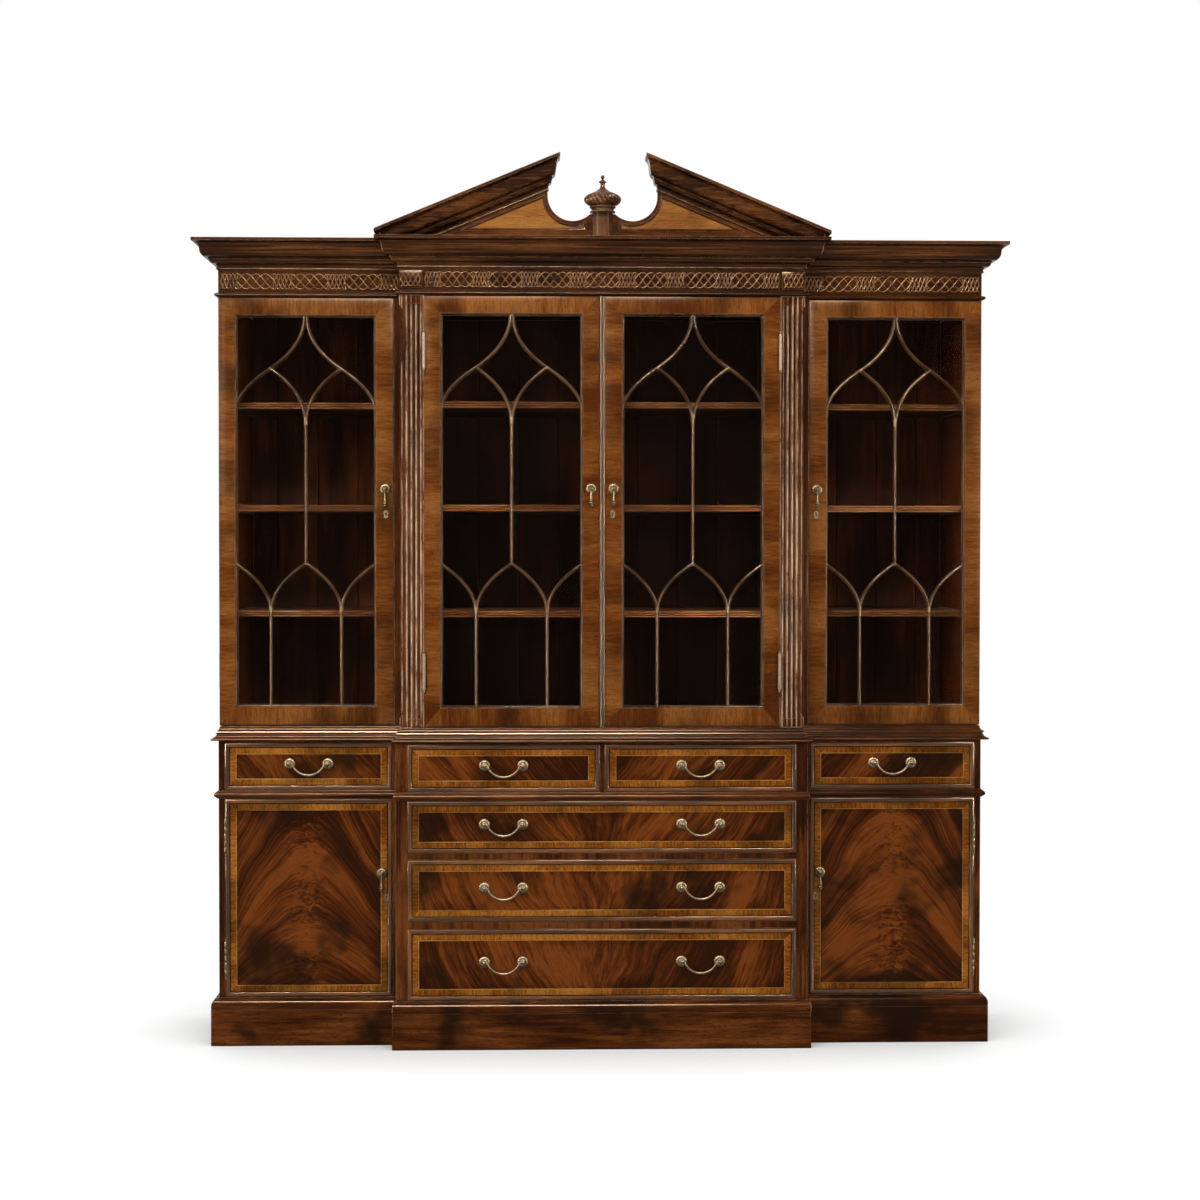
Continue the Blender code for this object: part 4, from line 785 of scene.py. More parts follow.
# %% Plinth
PLINTH_HEIGHT, PLINTH_LIP, PLINTH_OUT, PLINTH_LEDGE, PLINTH_ARRIS = 0.1045, 0.026, 0.0205, 0.040, 0.004
FOOT_EASE, BACK_RAIL, TALL_SHARE = 0.001, 0.022, 0.8
BREAK_SHARE = 0.46
RETURN_SCALES = (1, 1, BREAK_SHARE, 1, BREAK_SHARE, 1, 1)
LIP_ROWS = (
    ("line", 1.0, -0.20), ("line", 0.93, -0.16), ("line", 0.93, -0.08), ("round", 1.0, 0.06), ("line", 0.98, 0.14),
    ("hollow", 0.20, 0.90), ("line", 0.16, 1.0),
)
RUBBED_FOOT = (0.42, 0.25, 0.14)
plinth_woods = woods("plinth_wood", ("level", "deep"), CASE_TONES, RUBBED_FOOT, wear=1.2, shade=0.9, specks=0.9)


def front_arris(edge):
    """The upright corners at the plinth's front."""
    low, high = (end.co for end in edge.verts)
    tall = abs(high.z - low.z) > PLINTH_HEIGHT * TALL_SHARE
    return tall and low.y < BASE_WING_Y and edge.calc_face_angle_signed(0) > 1


lip = [(out, PLINTH_HEIGHT + up) for out, up in moulding(LIP_ROWS, PLINTH_OUT, PLINTH_LIP)]
plinth_section = [(PLINTH_OUT - FOOT_EASE, 0), (PLINTH_OUT, FOOT_EASE)] + lip
plinth_section += [(GAP, PLINTH_HEIGHT + PLINTH_LIP), (GAP, PLINTH_HEIGHT), (-PLINTH_LEDGE, PLINTH_HEIGHT)]
plinth_section += [(-PLINTH_LEDGE, 0)]
base_plan = breakfront(BASE_X, BASE_CENTRE_X, BASE_WING_Y, BASE_CENTRE_Y, 0)
plinth = lay_breakfront(plinth_section, base_plan, RETURN_SCALES, pair=plinth_woods)
inner = BASE_X - PLINTH_LEDGE
back_rail = board((-inner, BACK_Y - BACK_RAIL, 0), (inner, BACK_Y, PLINTH_HEIGHT), FOOT_EASE)
plinth = weld(gather([plinth, paint_all(back_rail, wood_level)]))
shape(plinth)
pick("edges", front_arris)
bpy.ops.mesh.bevel(offset=PLINTH_ARRIS, segments=3)
weld(rest())
settle(plinth, "plinth_moulded", CASE, "mahogany", "plinth")
print("plinth faces", len(plinth.data.polygons))

# %% Waist bead and surbase
WAIST_Z, WAIST_OUT, WAIST_RAIL = 0.674, 0.009, 0.024
WAIST_ROWS = (("line", 0.30, 0.06), ("line", 0.34, 0.10), ("bead", 0.34, 0.90), ("line", 0.30, 0.94))
waist = [(out, WAIST_Z + up) for out, up in moulding(WAIST_ROWS, WAIST_OUT, WAIST_RAIL)]
waist_section = [(GAP, waist[0][1])] + waist + [(GAP, waist[-1][1])]
waist_bead = weld(lay_breakfront(waist_section, base_plan, RETURN_SCALES))
settle(waist_bead, "waist_bead", CASE, "mahogany", "waist_moulding")

SURBASE_Z, SURBASE_OUT, SURBASE_HEIGHT, SURBASE_SETBACK = 0.8338, 0.0205, 0.038, 0.003
SURBASE_ROWS = (
    ("line", 0.70, 0), ("round", 0.98, 0.07), ("line", 1.0, 0.10), ("line", 0.94, 0.16), ("round", 0.40, 0.37),
    ("line", 0.30, 0.40), ("line", 0.26, 0.46), ("line", 0.30, 0.52), ("line", 0.40, 0.53), ("line", 0.44, 0.59),
    ("line", 0.38, 0.66), ("round", -0.06, 0.97), ("line", -0.10, 1.0),
)
wing_y, centre_y = BASE_WING_Y + SURBASE_SETBACK, BASE_CENTRE_Y + SURBASE_SETBACK
surbase_plan = breakfront(BODY_X, CENTRE_X, wing_y, centre_y, SURBASE_Z)
surbase = lay_breakfront(moulding(SURBASE_ROWS, SURBASE_OUT, SURBASE_HEIGHT), surbase_plan, closed=False)
cap_level(surbase, SURBASE_Z + SURBASE_HEIGHT)
cap_level(surbase, SURBASE_Z)
cap(surbase)
weld(surbase)
settle(surbase, "surbase_board", CASE, "mahogany", "surbase_top")
print("surbase faces", len(surbase.data.polygons))

# %% [markdown]
# ## Frieze and cornice
#
# The frieze is a flat board with an astragal at its foot, and it carries a blind fret: a band of interlaced
# strands, cut through a thin board and glued on. The cornice above it has ten members in 80 mm. They were
# counted off the photograph from the fillet at the top down to the bead that sits on the frieze.

# %% Frieze board
FRIEZE_Z, FRIEZE_HEIGHT, CASE_BOARD = 2.0430, 0.073, 0.022
ASTRAGAL_OUT, ASTRAGAL_HEIGHT = 0.011, 0.010
ASTRAGAL_ROWS = (("line", 0.45, 0), ("line", 0.55, 0.06), ("bead", 0.55, 0.94), ("line", 0.45, 1.0), ("line", 0, 1.1))
FRIEZE_TONES = ((0.009, 0.0014, 0.0002), (0.027, 0.0058, 0.0008), (0.068, 0.020, 0.0040))


def back_board(low_z, high_z, finish):
    """The plain board that closes a stage at the back."""
    inner = BODY_X - CASE_BOARD - GAP
    return paint_all(board((-inner, BACK_Y - CASE_BOARD, low_z), (inner, BACK_Y, high_z)), finish)


frieze_level, frieze_deep = woods("frieze_wood", ("level", "deep"), FRIEZE_TONES, RUBBED_CASE)
frieze_section = [(out, FRIEZE_Z + up) for out, up in moulding(ASTRAGAL_ROWS, ASTRAGAL_OUT, ASTRAGAL_HEIGHT)]
frieze_section += [(0, FRIEZE_Z + FRIEZE_HEIGHT), (-CASE_BOARD, FRIEZE_Z + FRIEZE_HEIGHT), (-CASE_BOARD, FRIEZE_Z)]
upper_plan = breakfront(BODY_X, CENTRE_X, WING_Y, CENTRE_Y, 0)
frieze = lay_breakfront(frieze_section, upper_plan, pair=(frieze_level, frieze_deep))
frieze = weld(gather([frieze, back_board(FRIEZE_Z, FRIEZE_Z + FRIEZE_HEIGHT, frieze_level)]))
settle(frieze, "frieze_board", CASE, "mahogany", "frieze")
print("frieze faces", len(frieze.data.polygons))

# %% [markdown]
# ## The blind fret
#
# The fret is a thin board, sawn to interlaced strands and glued to the frieze. Four strands follow one wave,
# each a quarter turn behind the last, so the gaps between them close to eyes. The wave runs slowly through
# the long loops and fast through the dense lattice between them, where two arcs frame it. A line is drawn
# through points of the wave, made into a curve and given a half round as its bevel object, because a swept
# section keeps its width round every bend.

# %% Sweeping a section along paths


def converted(piece, kind):
    """The same piece as a curve or as a mesh."""
    take(piece)
    bpy.ops.object.convert(target=kind)
    return bpy.context.object


def line_through(points):
    outline(points, closed=False)
    return rest()


def sweep(paths, section, front_y, closed=False):
    """Sweeps a section, given as across and forwards, along paths of X and Z that stand in a front plane."""
    outline([(across, up, 0) for across, up in section])
    profile = converted(rest(), "CURVE")
    drawn = []
    for path in paths:
        outline([(x, z, 0) for x, z in path], closed)
        drawn.append(rest())
    bars = converted(gather(drawn), "CURVE")
    bars.data.dimensions = "3D"
    bars.data.twist_mode = "Z_UP"
    bars.data.bevel_mode = "OBJECT"
    bars.data.bevel_object = profile
    bars.data.use_fill_caps = not closed
    bars = converted(bars, "MESH")
    bpy.data.objects.remove(profile)
    bars.rotation_euler.x = math.radians(90)
    bars.location.y = front_y
    take(bars)
    fix_place()
    return weld(bars)


print("sweeps ready")


# %% Strands of the fret
LOOP_LENGTH, LATTICE_LENGTH, LATTICE_TURNS, STRANDS = 0.098, 0.042, 1.0, 4
FRET_HALF, FRET_Z, FRET_MARGIN, FRET_STEP = 0.0205, FRIEZE_Z + 0.042, 0.007, 0.0035
STRAND_RADIUS, STRAND_ROOT, ARC_BULGE, ARC_STEPS_EACH_WAY = 0.0017, 0.0003, 0.006, 6
BLOCK_X, BLOCK_RISE, BLOCK_HALF, BLOCK_MARGIN, BLOCK_ARRIS = 0.487, 0.004, 0.0235, 0.0045, 0.0008


def half_round(radius, steps, squash=1.0, middle=0.0, level=0.0):
    """Points over the top of a rounded bead, from its left foot to its right one."""
    angles = [math.pi * step / steps for step in range(steps + 1)]
    return [(middle - radius * math.cos(a), level + radius * squash * math.sin(a)) for a in angles]


strand_section = [(-STRAND_RADIUS, -STRAND_ROOT)] + half_round(STRAND_RADIUS, 6) + [(STRAND_RADIUS, -STRAND_ROOT)]


def turns_at(place):
    """How many waves a strand has made at a distance from the start of a lattice."""
    repeats, part = divmod(place, LATTICE_LENGTH + LOOP_LENGTH)
    fast = LATTICE_TURNS * min(part / LATTICE_LENGTH, 1)
    return repeats * (LATTICE_TURNS + 1) + fast + max(part - LATTICE_LENGTH, 0) / LOOP_LENGTH


def fret(low_x, high_x, repeats, front_y, half=FRET_HALF):
    """Interlaced strands between two ends: a lattice, and then loops and a lattice for each repeat."""
    length = repeats * (LATTICE_LENGTH + LOOP_LENGTH) + LATTICE_LENGTH
    scale = (high_x - low_x) / length
    steps = round((high_x - low_x) / FRET_STEP)
    paths = []
    for strand in range(STRANDS):
        path = []
        for step in range(steps + 1):
            place = length * step / steps
            angle = math.tau * (turns_at(min(place, length - NEAR)) + strand / STRANDS)
            path.append((low_x + place * scale, FRET_Z + half * math.sin(angle)))
        paths.append(path)
    for repeat in range(repeats + 1):
        start = repeat * (LATTICE_LENGTH + LOOP_LENGTH)
        for way, end in ((1, start), (-1, start + LATTICE_LENGTH)):
            if 0 < end < length - NEAR:
                climbs = [n / ARC_STEPS_EACH_WAY for n in range(-ARC_STEPS_EACH_WAY, ARC_STEPS_EACH_WAY + 1)]
                bow = [(low_x + scale * (end - way * ARC_BULGE * climb ** 2), climb) for climb in climbs]
                paths.append([(x, FRET_Z + half * climb) for x, climb in bow])
    return sweep(paths, strand_section, front_y)


FRET_TONES = ((0.008, 0.0016, 0.0003), (0.025, 0.0060, 0.0010), (0.070, 0.022, 0.0045))
fret_wood = wood("blind_fret_wood", FRET_TONES, grain("level"), (0.25, 0.110, 0.036), roughness=0.18, glaze=0.8,
                 gloss=0.18, wear=0.5, streak=40, length=3, spread=1.5)
bays = (("left_wing_fret", -BODY_X, -CENTRE_X, 3, WING_Y), ("right_wing_fret", CENTRE_X, BODY_X, 3, WING_Y),
        ("centre_fret", -BLOCK_X, BLOCK_X, 7, CENTRE_Y))
for name, low_x, high_x, repeats, front_y in bays:
    strands = fret(low_x + FRET_MARGIN, high_x - FRET_MARGIN, repeats, front_y)
    settle(paint_all(strands, fret_wood), name, CASE, "mahogany")
for name, low_x, high_x in (("left_fret_block", -CENTRE_X, -BLOCK_X), ("right_fret_block", BLOCK_X, CENTRE_X)):
    low = (low_x, CENTRE_Y - BLOCK_RISE, FRET_Z - BLOCK_HALF)
    block = board(low, (high_x, CENTRE_Y + GAP, FRET_Z + BLOCK_HALF), BLOCK_ARRIS)
    strands = fret(low_x + BLOCK_MARGIN, high_x - BLOCK_MARGIN, 0, low[1], BLOCK_HALF - BLOCK_MARGIN)
    whole = weld(gather([paint_all(block, frieze_level), paint_all(strands, fret_wood)]))
    settle(whole, name, CASE, "mahogany")
print("fret bays:", len(bays))

# %% [markdown]
# ## The level cornice
#
# The cornice runs round the same plan as the frieze, at its own level, with its ten members as one section.
# Its top is closed by a dust board, which nobody polished. That face alone takes a dull, dry wood, so it
# doesn't glare when the cabinet is seen from above.

# %% Cornice
CORNICE_Z, CORNICE_OUT, CORNICE_HEIGHT, DUST_BOARD = 2.1163, 0.064, 0.0797, 0.009
CORNICE_ROWS = (
    ("line", 0.05, 0), ("bead", 0.05, 0.07), ("line", 0.05, 0.09), ("hollow", 0.14, 0.19), ("line", 0.18, 0.19),
    ("round", 0.33, 0.30), ("line", 0.34, 0.31), ("bead", 0.36, 0.36), ("line", 0.38, 0.38), ("line", 0.43, 0.38),
    ("ogee", 0.96, 0.88), ("line", 0.985, 0.89), ("line", 1.0, 0.90), ("line", 1.0, 0.985), ("line", 0.985, 1.0),
)
CORNICE_TONES = ((0.007, 0.0011, 0.0001), (0.026, 0.0060, 0.0009), (0.120, 0.038, 0.0080))
RUBBED_CORNICE = (0.44, 0.235, 0.11)
cornice_level, cornice_deep = woods("cornice_wood", ("level", "deep"), CORNICE_TONES, RUBBED_CORNICE, streak=170,
                                    length=60, wear=1.4, contrast=0.55, gloss=0.16)
dust_wood = wood("dust_board_wood", CORNICE_TONES, grain("level"), RUBBED_CASE, roughness=0.6, gloss=0.01, wear=0.3)

dust_foot, cornice_top = CORNICE_Z + CORNICE_HEIGHT - DUST_BOARD, CORNICE_Z + CORNICE_HEIGHT
cornice_face = moulding(CORNICE_ROWS, CORNICE_OUT, CORNICE_HEIGHT)
cornice_section = [(-CASE_BOARD, dust_foot), (-CASE_BOARD, CORNICE_Z)]
cornice_section += [(out, CORNICE_Z + up) for out, up in cornice_face]
cornice = lay_breakfront(cornice_section, upper_plan, closed=False, pair=(cornice_level, cornice_deep))
cap_level(cornice, cornice_top)
cap_level(cornice, dust_foot)
cap(cornice)
cornice = weld(gather([cornice, back_board(CORNICE_Z, dust_foot, cornice_level)]))
cornice.data.materials.append(dust_wood)
shape(cornice)
pick("faces", lambda face: face.normal.z > 0.9 and face.calc_center_median().z > cornice_top - NEAR)
finish_picked(len(cornice.data.materials) - 1)
rest()
settle(cornice, "cornice_moulded", CASE, "mahogany", "cornice")
print("cornice faces", len(cornice.data.polygons))

# %% [markdown]
# ## Broken pediment
#
# The raking cornices climb from the corners of the centre bay and stop short of each other, each with a
# small return. They have the level cornice's own section, but leaning, so that its members line up with the
# level ones at the corner. Leaning here means that each end is drawn upright and the strip between them is
# pushed along the slope. At a return the section itself is drawn leaning, because there the slope shows
# from the side.

# %% Raking cornices
PEDIMENT_Z, TIP_Z, RAKE_FOOT_RISE = cornice_top + GAP, 2.4183, 0.016
RAKE_FOOT_X, RAKE_FOOT_Z = CENTRE_X + CORNICE_OUT, PEDIMENT_Z + RAKE_FOOT_RISE
RAKE_TIP_X, RAKE_RETURN, BOARD_THICKNESS = 0.115, 0.055, 0.022
SCROLL_X, SCROLL_RADIUS, SCROLL_RISE = 0.081, 0.0675, 0.115
SCROLL_Z = PEDIMENT_Z + SCROLL_RISE
RAKE_SLOPE = (TIP_Z - RAKE_FOOT_Z) / (RAKE_FOOT_X - RAKE_TIP_X)
INNER_X = SCROLL_X + SCROLL_RADIUS
INNER_SHARE = (INNER_X - RAKE_TIP_X) / CORNICE_OUT


def rake_line(x):
    """The height of the raking cornice's top edge at a distance from the middle."""
    return RAKE_FOOT_Z + RAKE_SLOPE * (RAKE_FOOT_X - x)


def leaning(section, slope):
    return [(out, up + slope * out) for out, up in section]


rake_section = [(GAP, 0)] + cornice_face + [(GAP, CORNICE_HEIGHT)]
foot_low, tip_low = rake_line(CENTRE_X) - CORNICE_HEIGHT, rake_line(INNER_X) - CORNICE_HEIGHT
rake_corners = (
    (CENTRE_X, CENTRE_Y + RAKE_RETURN, foot_low), (CENTRE_X, CENTRE_Y, foot_low),
    (INNER_X, CENTRE_Y, tip_low), (INNER_X, CENTRE_Y + BOARD_THICKNESS, tip_low),
)
rake_sections = (leaning(rake_section, -RAKE_SLOPE), rake_section, leaning(rake_section, RAKE_SLOPE * INNER_SHARE))
right_rake = lay_run(
    rake_section, rake_corners, (RIGHT, FRONT, LEFT), (1, 1, INNER_SHARE), sections=rake_sections,
    finishes=(cornice_deep, cornice_level, cornice_deep),
)
cap(right_rake, lambda place: place.y > CENTRE_Y + RAKE_RETURN - NEAR)
cap(right_rake, lambda place: abs(place.y - CENTRE_Y - BOARD_THICKNESS) < NEAR)
shape(right_rake)
pick_all()
bpy.ops.mesh.bisect(plane_co=(0, 0, PEDIMENT_Z), plane_no=(0, 0, 1), clear_inner=True, use_fill=True)
rest()
weld(right_rake)
left_rake = copy_of(right_rake, mirror=True)
settle(right_rake, "right_rake_moulded", CASE, "mahogany", "right_raking_cornice")
settle(left_rake, "left_rake_moulded", CASE, "mahogany", "left_raking_cornice")
print("slope", round(math.degrees(math.atan(RAKE_SLOPE)), 1), "degrees")

# %% [markdown]
# The board behind them has a round cut-out on each side of the finial, and a panel of golden veneer sunk
# inside a raised border. The outline is drawn as a chain of points, filled and pushed to a slab. The panel
# is a shallower slab taken out of it by a Boolean, the nearest thing in Blender to a router and a template.
# Only the right half is made. A mirror gives the other one.

# %% Tympanum
NECK_RISE, BELOW_RAKE, OVERRUN = 0.066, 0.002, 0.01
PANEL_SINK, PANEL_BORDER, PANEL_RISE, PANEL_INNER, PANEL_ARC_END = 0.003, 0.009, 0.022, 0.045, 350
PANEL_BEAD = ((0.0012, 0.0022), (0.0014, 0.0006), (0.0014, -0.0006), (0.0012, -0.0022), (0.0006, 0))
SCROLL_STEPS = 40
PANEL_TONES = ((0.190, 0.060, 0.008), (0.270, 0.095, 0.014), (0.350, 0.145, 0.026))
panel_wood = wood("pediment_panel_veneer", PANEL_TONES, grain("level"), RUBBED_VENEER, streak=40, length=7,
                  contrast=0.4, shade=0.4, specks=0.4, gloss=0.16)


def scroll_arc(radius, start, end):
    """Points on the round cut-out between two angles in degrees."""
    angles = [math.radians(start + (end - start) * step / SCROLL_STEPS) for step in range(SCROLL_STEPS + 1)]
    return [(SCROLL_X + radius * math.cos(angle), SCROLL_Z + radius * math.sin(angle)) for angle in angles]


neck_z, panel_foot = PEDIMENT_Z + NECK_RISE, PEDIMENT_Z + PANEL_RISE
neck_angle = 180 + math.degrees(math.asin((SCROLL_Z - neck_z) / SCROLL_RADIUS))
half_board = [(0, PEDIMENT_Z), (0, neck_z)] + scroll_arc(SCROLL_RADIUS, neck_angle, 360)
half_board += [(INNER_X, rake_line(INNER_X) - BELOW_RAKE), (CENTRE_X, rake_line(CENTRE_X) - BELOW_RAKE)]
half_board += [(CENTRE_X, PEDIMENT_Z)]
tympanum = slab([(x, CENTRE_Y, z) for x, z in half_board], (0, BOARD_THICKNESS, 0))
border_radius = SCROLL_RADIUS + PANEL_BORDER
border_start = 270 - math.degrees(math.asin((SCROLL_X - PANEL_INNER) / border_radius))
panel = [(PANEL_INNER, panel_foot)] + scroll_arc(border_radius, border_start, PANEL_ARC_END)
panel_drop = CORNICE_HEIGHT + PANEL_BORDER
panel.append((panel[-1][0], rake_line(panel[-1][0]) - panel_drop))
panel.append((RAKE_FOOT_X - (panel_foot + panel_drop - RAKE_FOOT_Z) / RAKE_SLOPE, panel_foot))
carve(tympanum, slab([(x, CENTRE_Y - OVERRUN, z) for x, z in panel], (0, OVERRUN + PANEL_SINK, 0)))
paint_all(tympanum, wood_level, panel_wood)
shape(tympanum)
pick("faces", lambda face: face.normal.y < -0.9 and face.calc_center_median().y > CENTRE_Y + PANEL_SINK / 2)
for width, rise in PANEL_BEAD:
    bpy.ops.mesh.inset(thickness=width, depth=rise)
finish_picked(1)
pick("faces", lambda face: face.calc_center_median().x < NEAR)
bpy.ops.mesh.delete(type="ONLY_FACE")
rest()
modify(tympanum, "MIRROR", use_axis=(True, False, False), merge_threshold=SAME_PLACE)
weld(tympanum)
settle(tympanum, "tympanum_board", CASE, "mahogany", "tympanum")
print("tympanum faces", len(tympanum.data.polygons))

# %% Pedestal of the finial
PEDESTAL_HALF, PEDESTAL_CANT, PEDESTAL_HEIGHT, PEDESTAL_ARRIS = 0.026, 0.011, 0.069, 0.0008
RUBBED_TONES = ((0.045, 0.013, 0.003), (0.105, 0.036, 0.011), (0.195, 0.085, 0.036))
rubbed_wood = wood("rubbed_finial_wood", RUBBED_TONES, grain("upright"), (0.46, 0.28, 0.175), wear=0.9, gloss=0.12,
                   glaze=1.2)
front_y = CENTRE_Y - PEDESTAL_HALF + PEDESTAL_CANT
pedestal_plan = [(PEDESTAL_HALF, CENTRE_Y + BOARD_THICKNESS - GAP), (PEDESTAL_HALF, front_y + PEDESTAL_CANT)]
pedestal_plan += [(PEDESTAL_HALF - PEDESTAL_CANT, front_y)]
pedestal_plan += [(-x, y) for x, y in reversed(pedestal_plan)]
pedestal = slab([(x, y, PEDIMENT_Z + GAP) for x, y in pedestal_plan], (0, 0, PEDESTAL_HEIGHT - GAP))
shape(pedestal)
pick("edges", lambda edge: abs(edge.verts[0].co.z - edge.verts[1].co.z) > PEDESTAL_HEIGHT / 2)
bpy.ops.mesh.bevel(offset=PEDESTAL_ARRIS, segments=2)
paint_all(weld(rest()), rubbed_wood)
settle(pedestal, "finial_pedestal", CASE, "mahogany")
print("pedestal faces", len(pedestal.data.polygons))

# %% [markdown]
# ## Turning and carving the finial
#
# A turner makes the urn from a drawing of half its outline. The same drawing, spun about its own axis, gives
# the blank. The carver then cuts slanting lobes, called gadroons, round the bowl. No tool in edit mode does
# that in one go, so each point of the bowl is moved in or out by a wave that runs round it and leans as it
# climbs.

# %% Turning
SPIN_AXES = {"z": (0, 0, 1), "y": (0, 1, 0), "x": (1, 0, 0)}


def through(points, steps=4):
    """A smooth curve through points. A point given twice makes a sharp corner."""
    curve = []
    last = len(points) - 1
    for index in range(last):
        before, start = points[max(index - 1, 0)], points[index]
        end, after = points[index + 1], points[min(index + 2, last)]
        if start == end:
            continue
        for step in range(steps):
            t = step / steps
            curve.append(tuple(
                0.5 * (2 * b + (c - a) * t + (2 * a - 5 * b + 4 * c - d) * t * t + (3 * b - a - 3 * c + d) * t ** 3)
                for a, b, c, d in zip(before, start, end, after)
            ))
    return curve + [points[-1]]


def turn(profile, place=(0, 0, 0), axis="z", steps=32, flip=False):
    """Spins a profile of radius and height about an upright axis, or one that points at the front or a side."""
    way = -1 if flip else 1
    to_space = {
        "z": lambda radius, height: (radius, 0, way * height),
        "y": lambda radius, height: (radius, way * height, 0),
        "x": lambda radius, height: (way * height, radius, 0),
    }[axis]
    outline([Vector(to_space(max(radius, 0), height)) + Vector(place) for radius, height in profile], closed=False)
    bpy.ops.mesh.spin(steps=steps, angle=math.tau, center=place, axis=SPIN_AXES[axis], use_auto_merge=True)
    return weld(rest())


FINIAL_HEIGHT, FINIAL_RADIUS = 0.102, 0.0505
FINIAL_SHARES = (
    (0, 1), (0.06, 0.985), (0.105, 0.945), (0.08, 0.905), (0.045, 0.885), (0.045, 0.885), (0.10, 0.86),
    (0.215, 0.825), (0.225, 0.812), (0.225, 0.812), (0.17, 0.795), (0.125, 0.765), (0.115, 0.72), (0.15, 0.66),
    (0.24, 0.615), (0.30, 0.600), (0.30, 0.600), (0.33, 0.580), (0.33, 0.580), (0.44, 0.550), (0.64, 0.51),
    (0.86, 0.455), (0.98, 0.39), (1.0, 0.335), (0.93, 0.265), (0.79, 0.21), (0.64, 0.175), (0.64, 0.175), (0.69, 0.165),
    (0.71, 0.145), (0.69, 0.125), (0.64, 0.115), (0.64, 0.115), (0.60, 0.07), (0.62, 0.045), (0.62, 0.045),
    (0.67, 0.04), (0.69, 0.02), (0.67, 0.0), (0.67, 0.0), (0, 0),
)
LOBES, LOBE_DEPTH, LOBE_LEAN, LOBE_FOOT, LOBE_HEAD, LOBE_FULLNESS = 22, 0.15, 0.07, 0.18, 0.585, 0.6
finial_place = Vector((0, CENTRE_Y, PEDIMENT_Z + PEDESTAL_HEIGHT + GAP))
drawing = [(radius * FINIAL_RADIUS, height * FINIAL_HEIGHT) for radius, height in through(FINIAL_SHARES, 5)]
finial = turn([(min(radius, FINIAL_RADIUS), height) for radius, height in drawing], finial_place, steps=176)
for point in finial.data.vertices:
    climb = ((point.co.z - finial_place.z) / FINIAL_HEIGHT - LOBE_FOOT) / (LOBE_HEAD - LOBE_FOOT)
    if 0 < climb < 1:
        off = point.co - finial_place
        angle = math.atan2(off.y, off.x) + math.tau * LOBE_LEAN * climb
        wave = abs(math.cos(LOBES * angle / 2)) - 1
        grow = 1 + LOBE_DEPTH * math.sin(math.pi * climb) ** LOBE_FULLNESS * wave
        point.co.x, point.co.y = finial_place.x + off.x * grow, finial_place.y + off.y * grow
paint_all(finial, rubbed_wood)
settle(finial, "finial_carved", CASE, "mahogany", "finial")
print("finial faces", len(finial.data.polygons))

# %% [markdown]
# ## Glazed doors
#
# A glazed door is four framing members, a fine moulding round the glass, and tracery bars in front of it.
# The members are mitred here because their show faces are crossbanded: the veneer's grain runs across each
# member and meets on the diagonal. The bars are a sweep. A line is drawn along each arch, made into a curve,
# and given the astragal section as its bevel object, so all the bars share one section and every arch stays
# easy to change.

# %% The arches of the tracery
OGEE_HEAD, OGEE_FOOT, INNER_RISE, CENTRE_POST, LOWER_RISE = 0.146, 0.122, 0.152, 0.380, 0.132
FUSED_HALF, SPLIT, CROWN_SLOPE, ARCH_STEPS = 0.003, 0.0006, 0.66, 18
EDGE_TUCK, END_TUCK, SIDE_DROP, POST_LAP = 0.0005, 0.003, 0.002, 0.004


def arch_arc(foot, reach, rise):
    """An arc that leaves its foot upright and comes to its crown at a slope."""
    upright = math.copysign(abs(rise) - abs(reach) * CROWN_SLOPE, rise)
    shares = [step / ARCH_STEPS for step in range(ARCH_STEPS + 1)]
    return [(foot[0] + s * s * reach, foot[1] + 2 * s * (1 - s) * upright + s * s * rise) for s in shares]


def tracery(low_x, high_x, foot_z, head_z):
    """Ogee arches at the head, a centre post, and pointed arches on two lower posts."""
    pitch, middle = (high_x - low_x) / 4, (low_x + high_x) / 2
    crown = head_z - OGEE_HEAD
    post_head = crown - INNER_RISE
    post_foot = post_head - CENTRE_POST
    lower_feet = post_foot - LOWER_RISE
    bars = []
    for side, edge in ((1, low_x), (-1, high_x)):
        head, post_x = (middle - side * FUSED_HALF, head_z), edge + side * pitch
        falling = arch_arc(head, -side * (pitch - FUSED_HALF), -OGEE_HEAD)
        rising = arch_arc((edge + side * EDGE_TUCK, crown - OGEE_FOOT), side * (pitch - EDGE_TUCK), OGEE_FOOT)
        bars.append(rising + falling[-2::-1] + [(head[0], head_z + END_TUCK)])
        bars.append(arch_arc((middle - side * SPLIT, post_head), -side * pitch, INNER_RISE))
        bars.append(arch_arc((post_x + side * SPLIT, lower_feet), side * (pitch - 2 * SPLIT), LOWER_RISE))
        outer = arch_arc((post_x - side * SPLIT, lower_feet), -side * (pitch - SPLIT), LOWER_RISE)
        bars.append(outer + [(edge - side * END_TUCK, post_foot + SIDE_DROP)])
        bars.append([(post_x, foot_z - END_TUCK), (post_x, lower_feet + POST_LAP)])
    bars.append([(middle, post_foot - POST_LAP), (middle, post_head + POST_LAP)])
    return bars


print("arches ready")

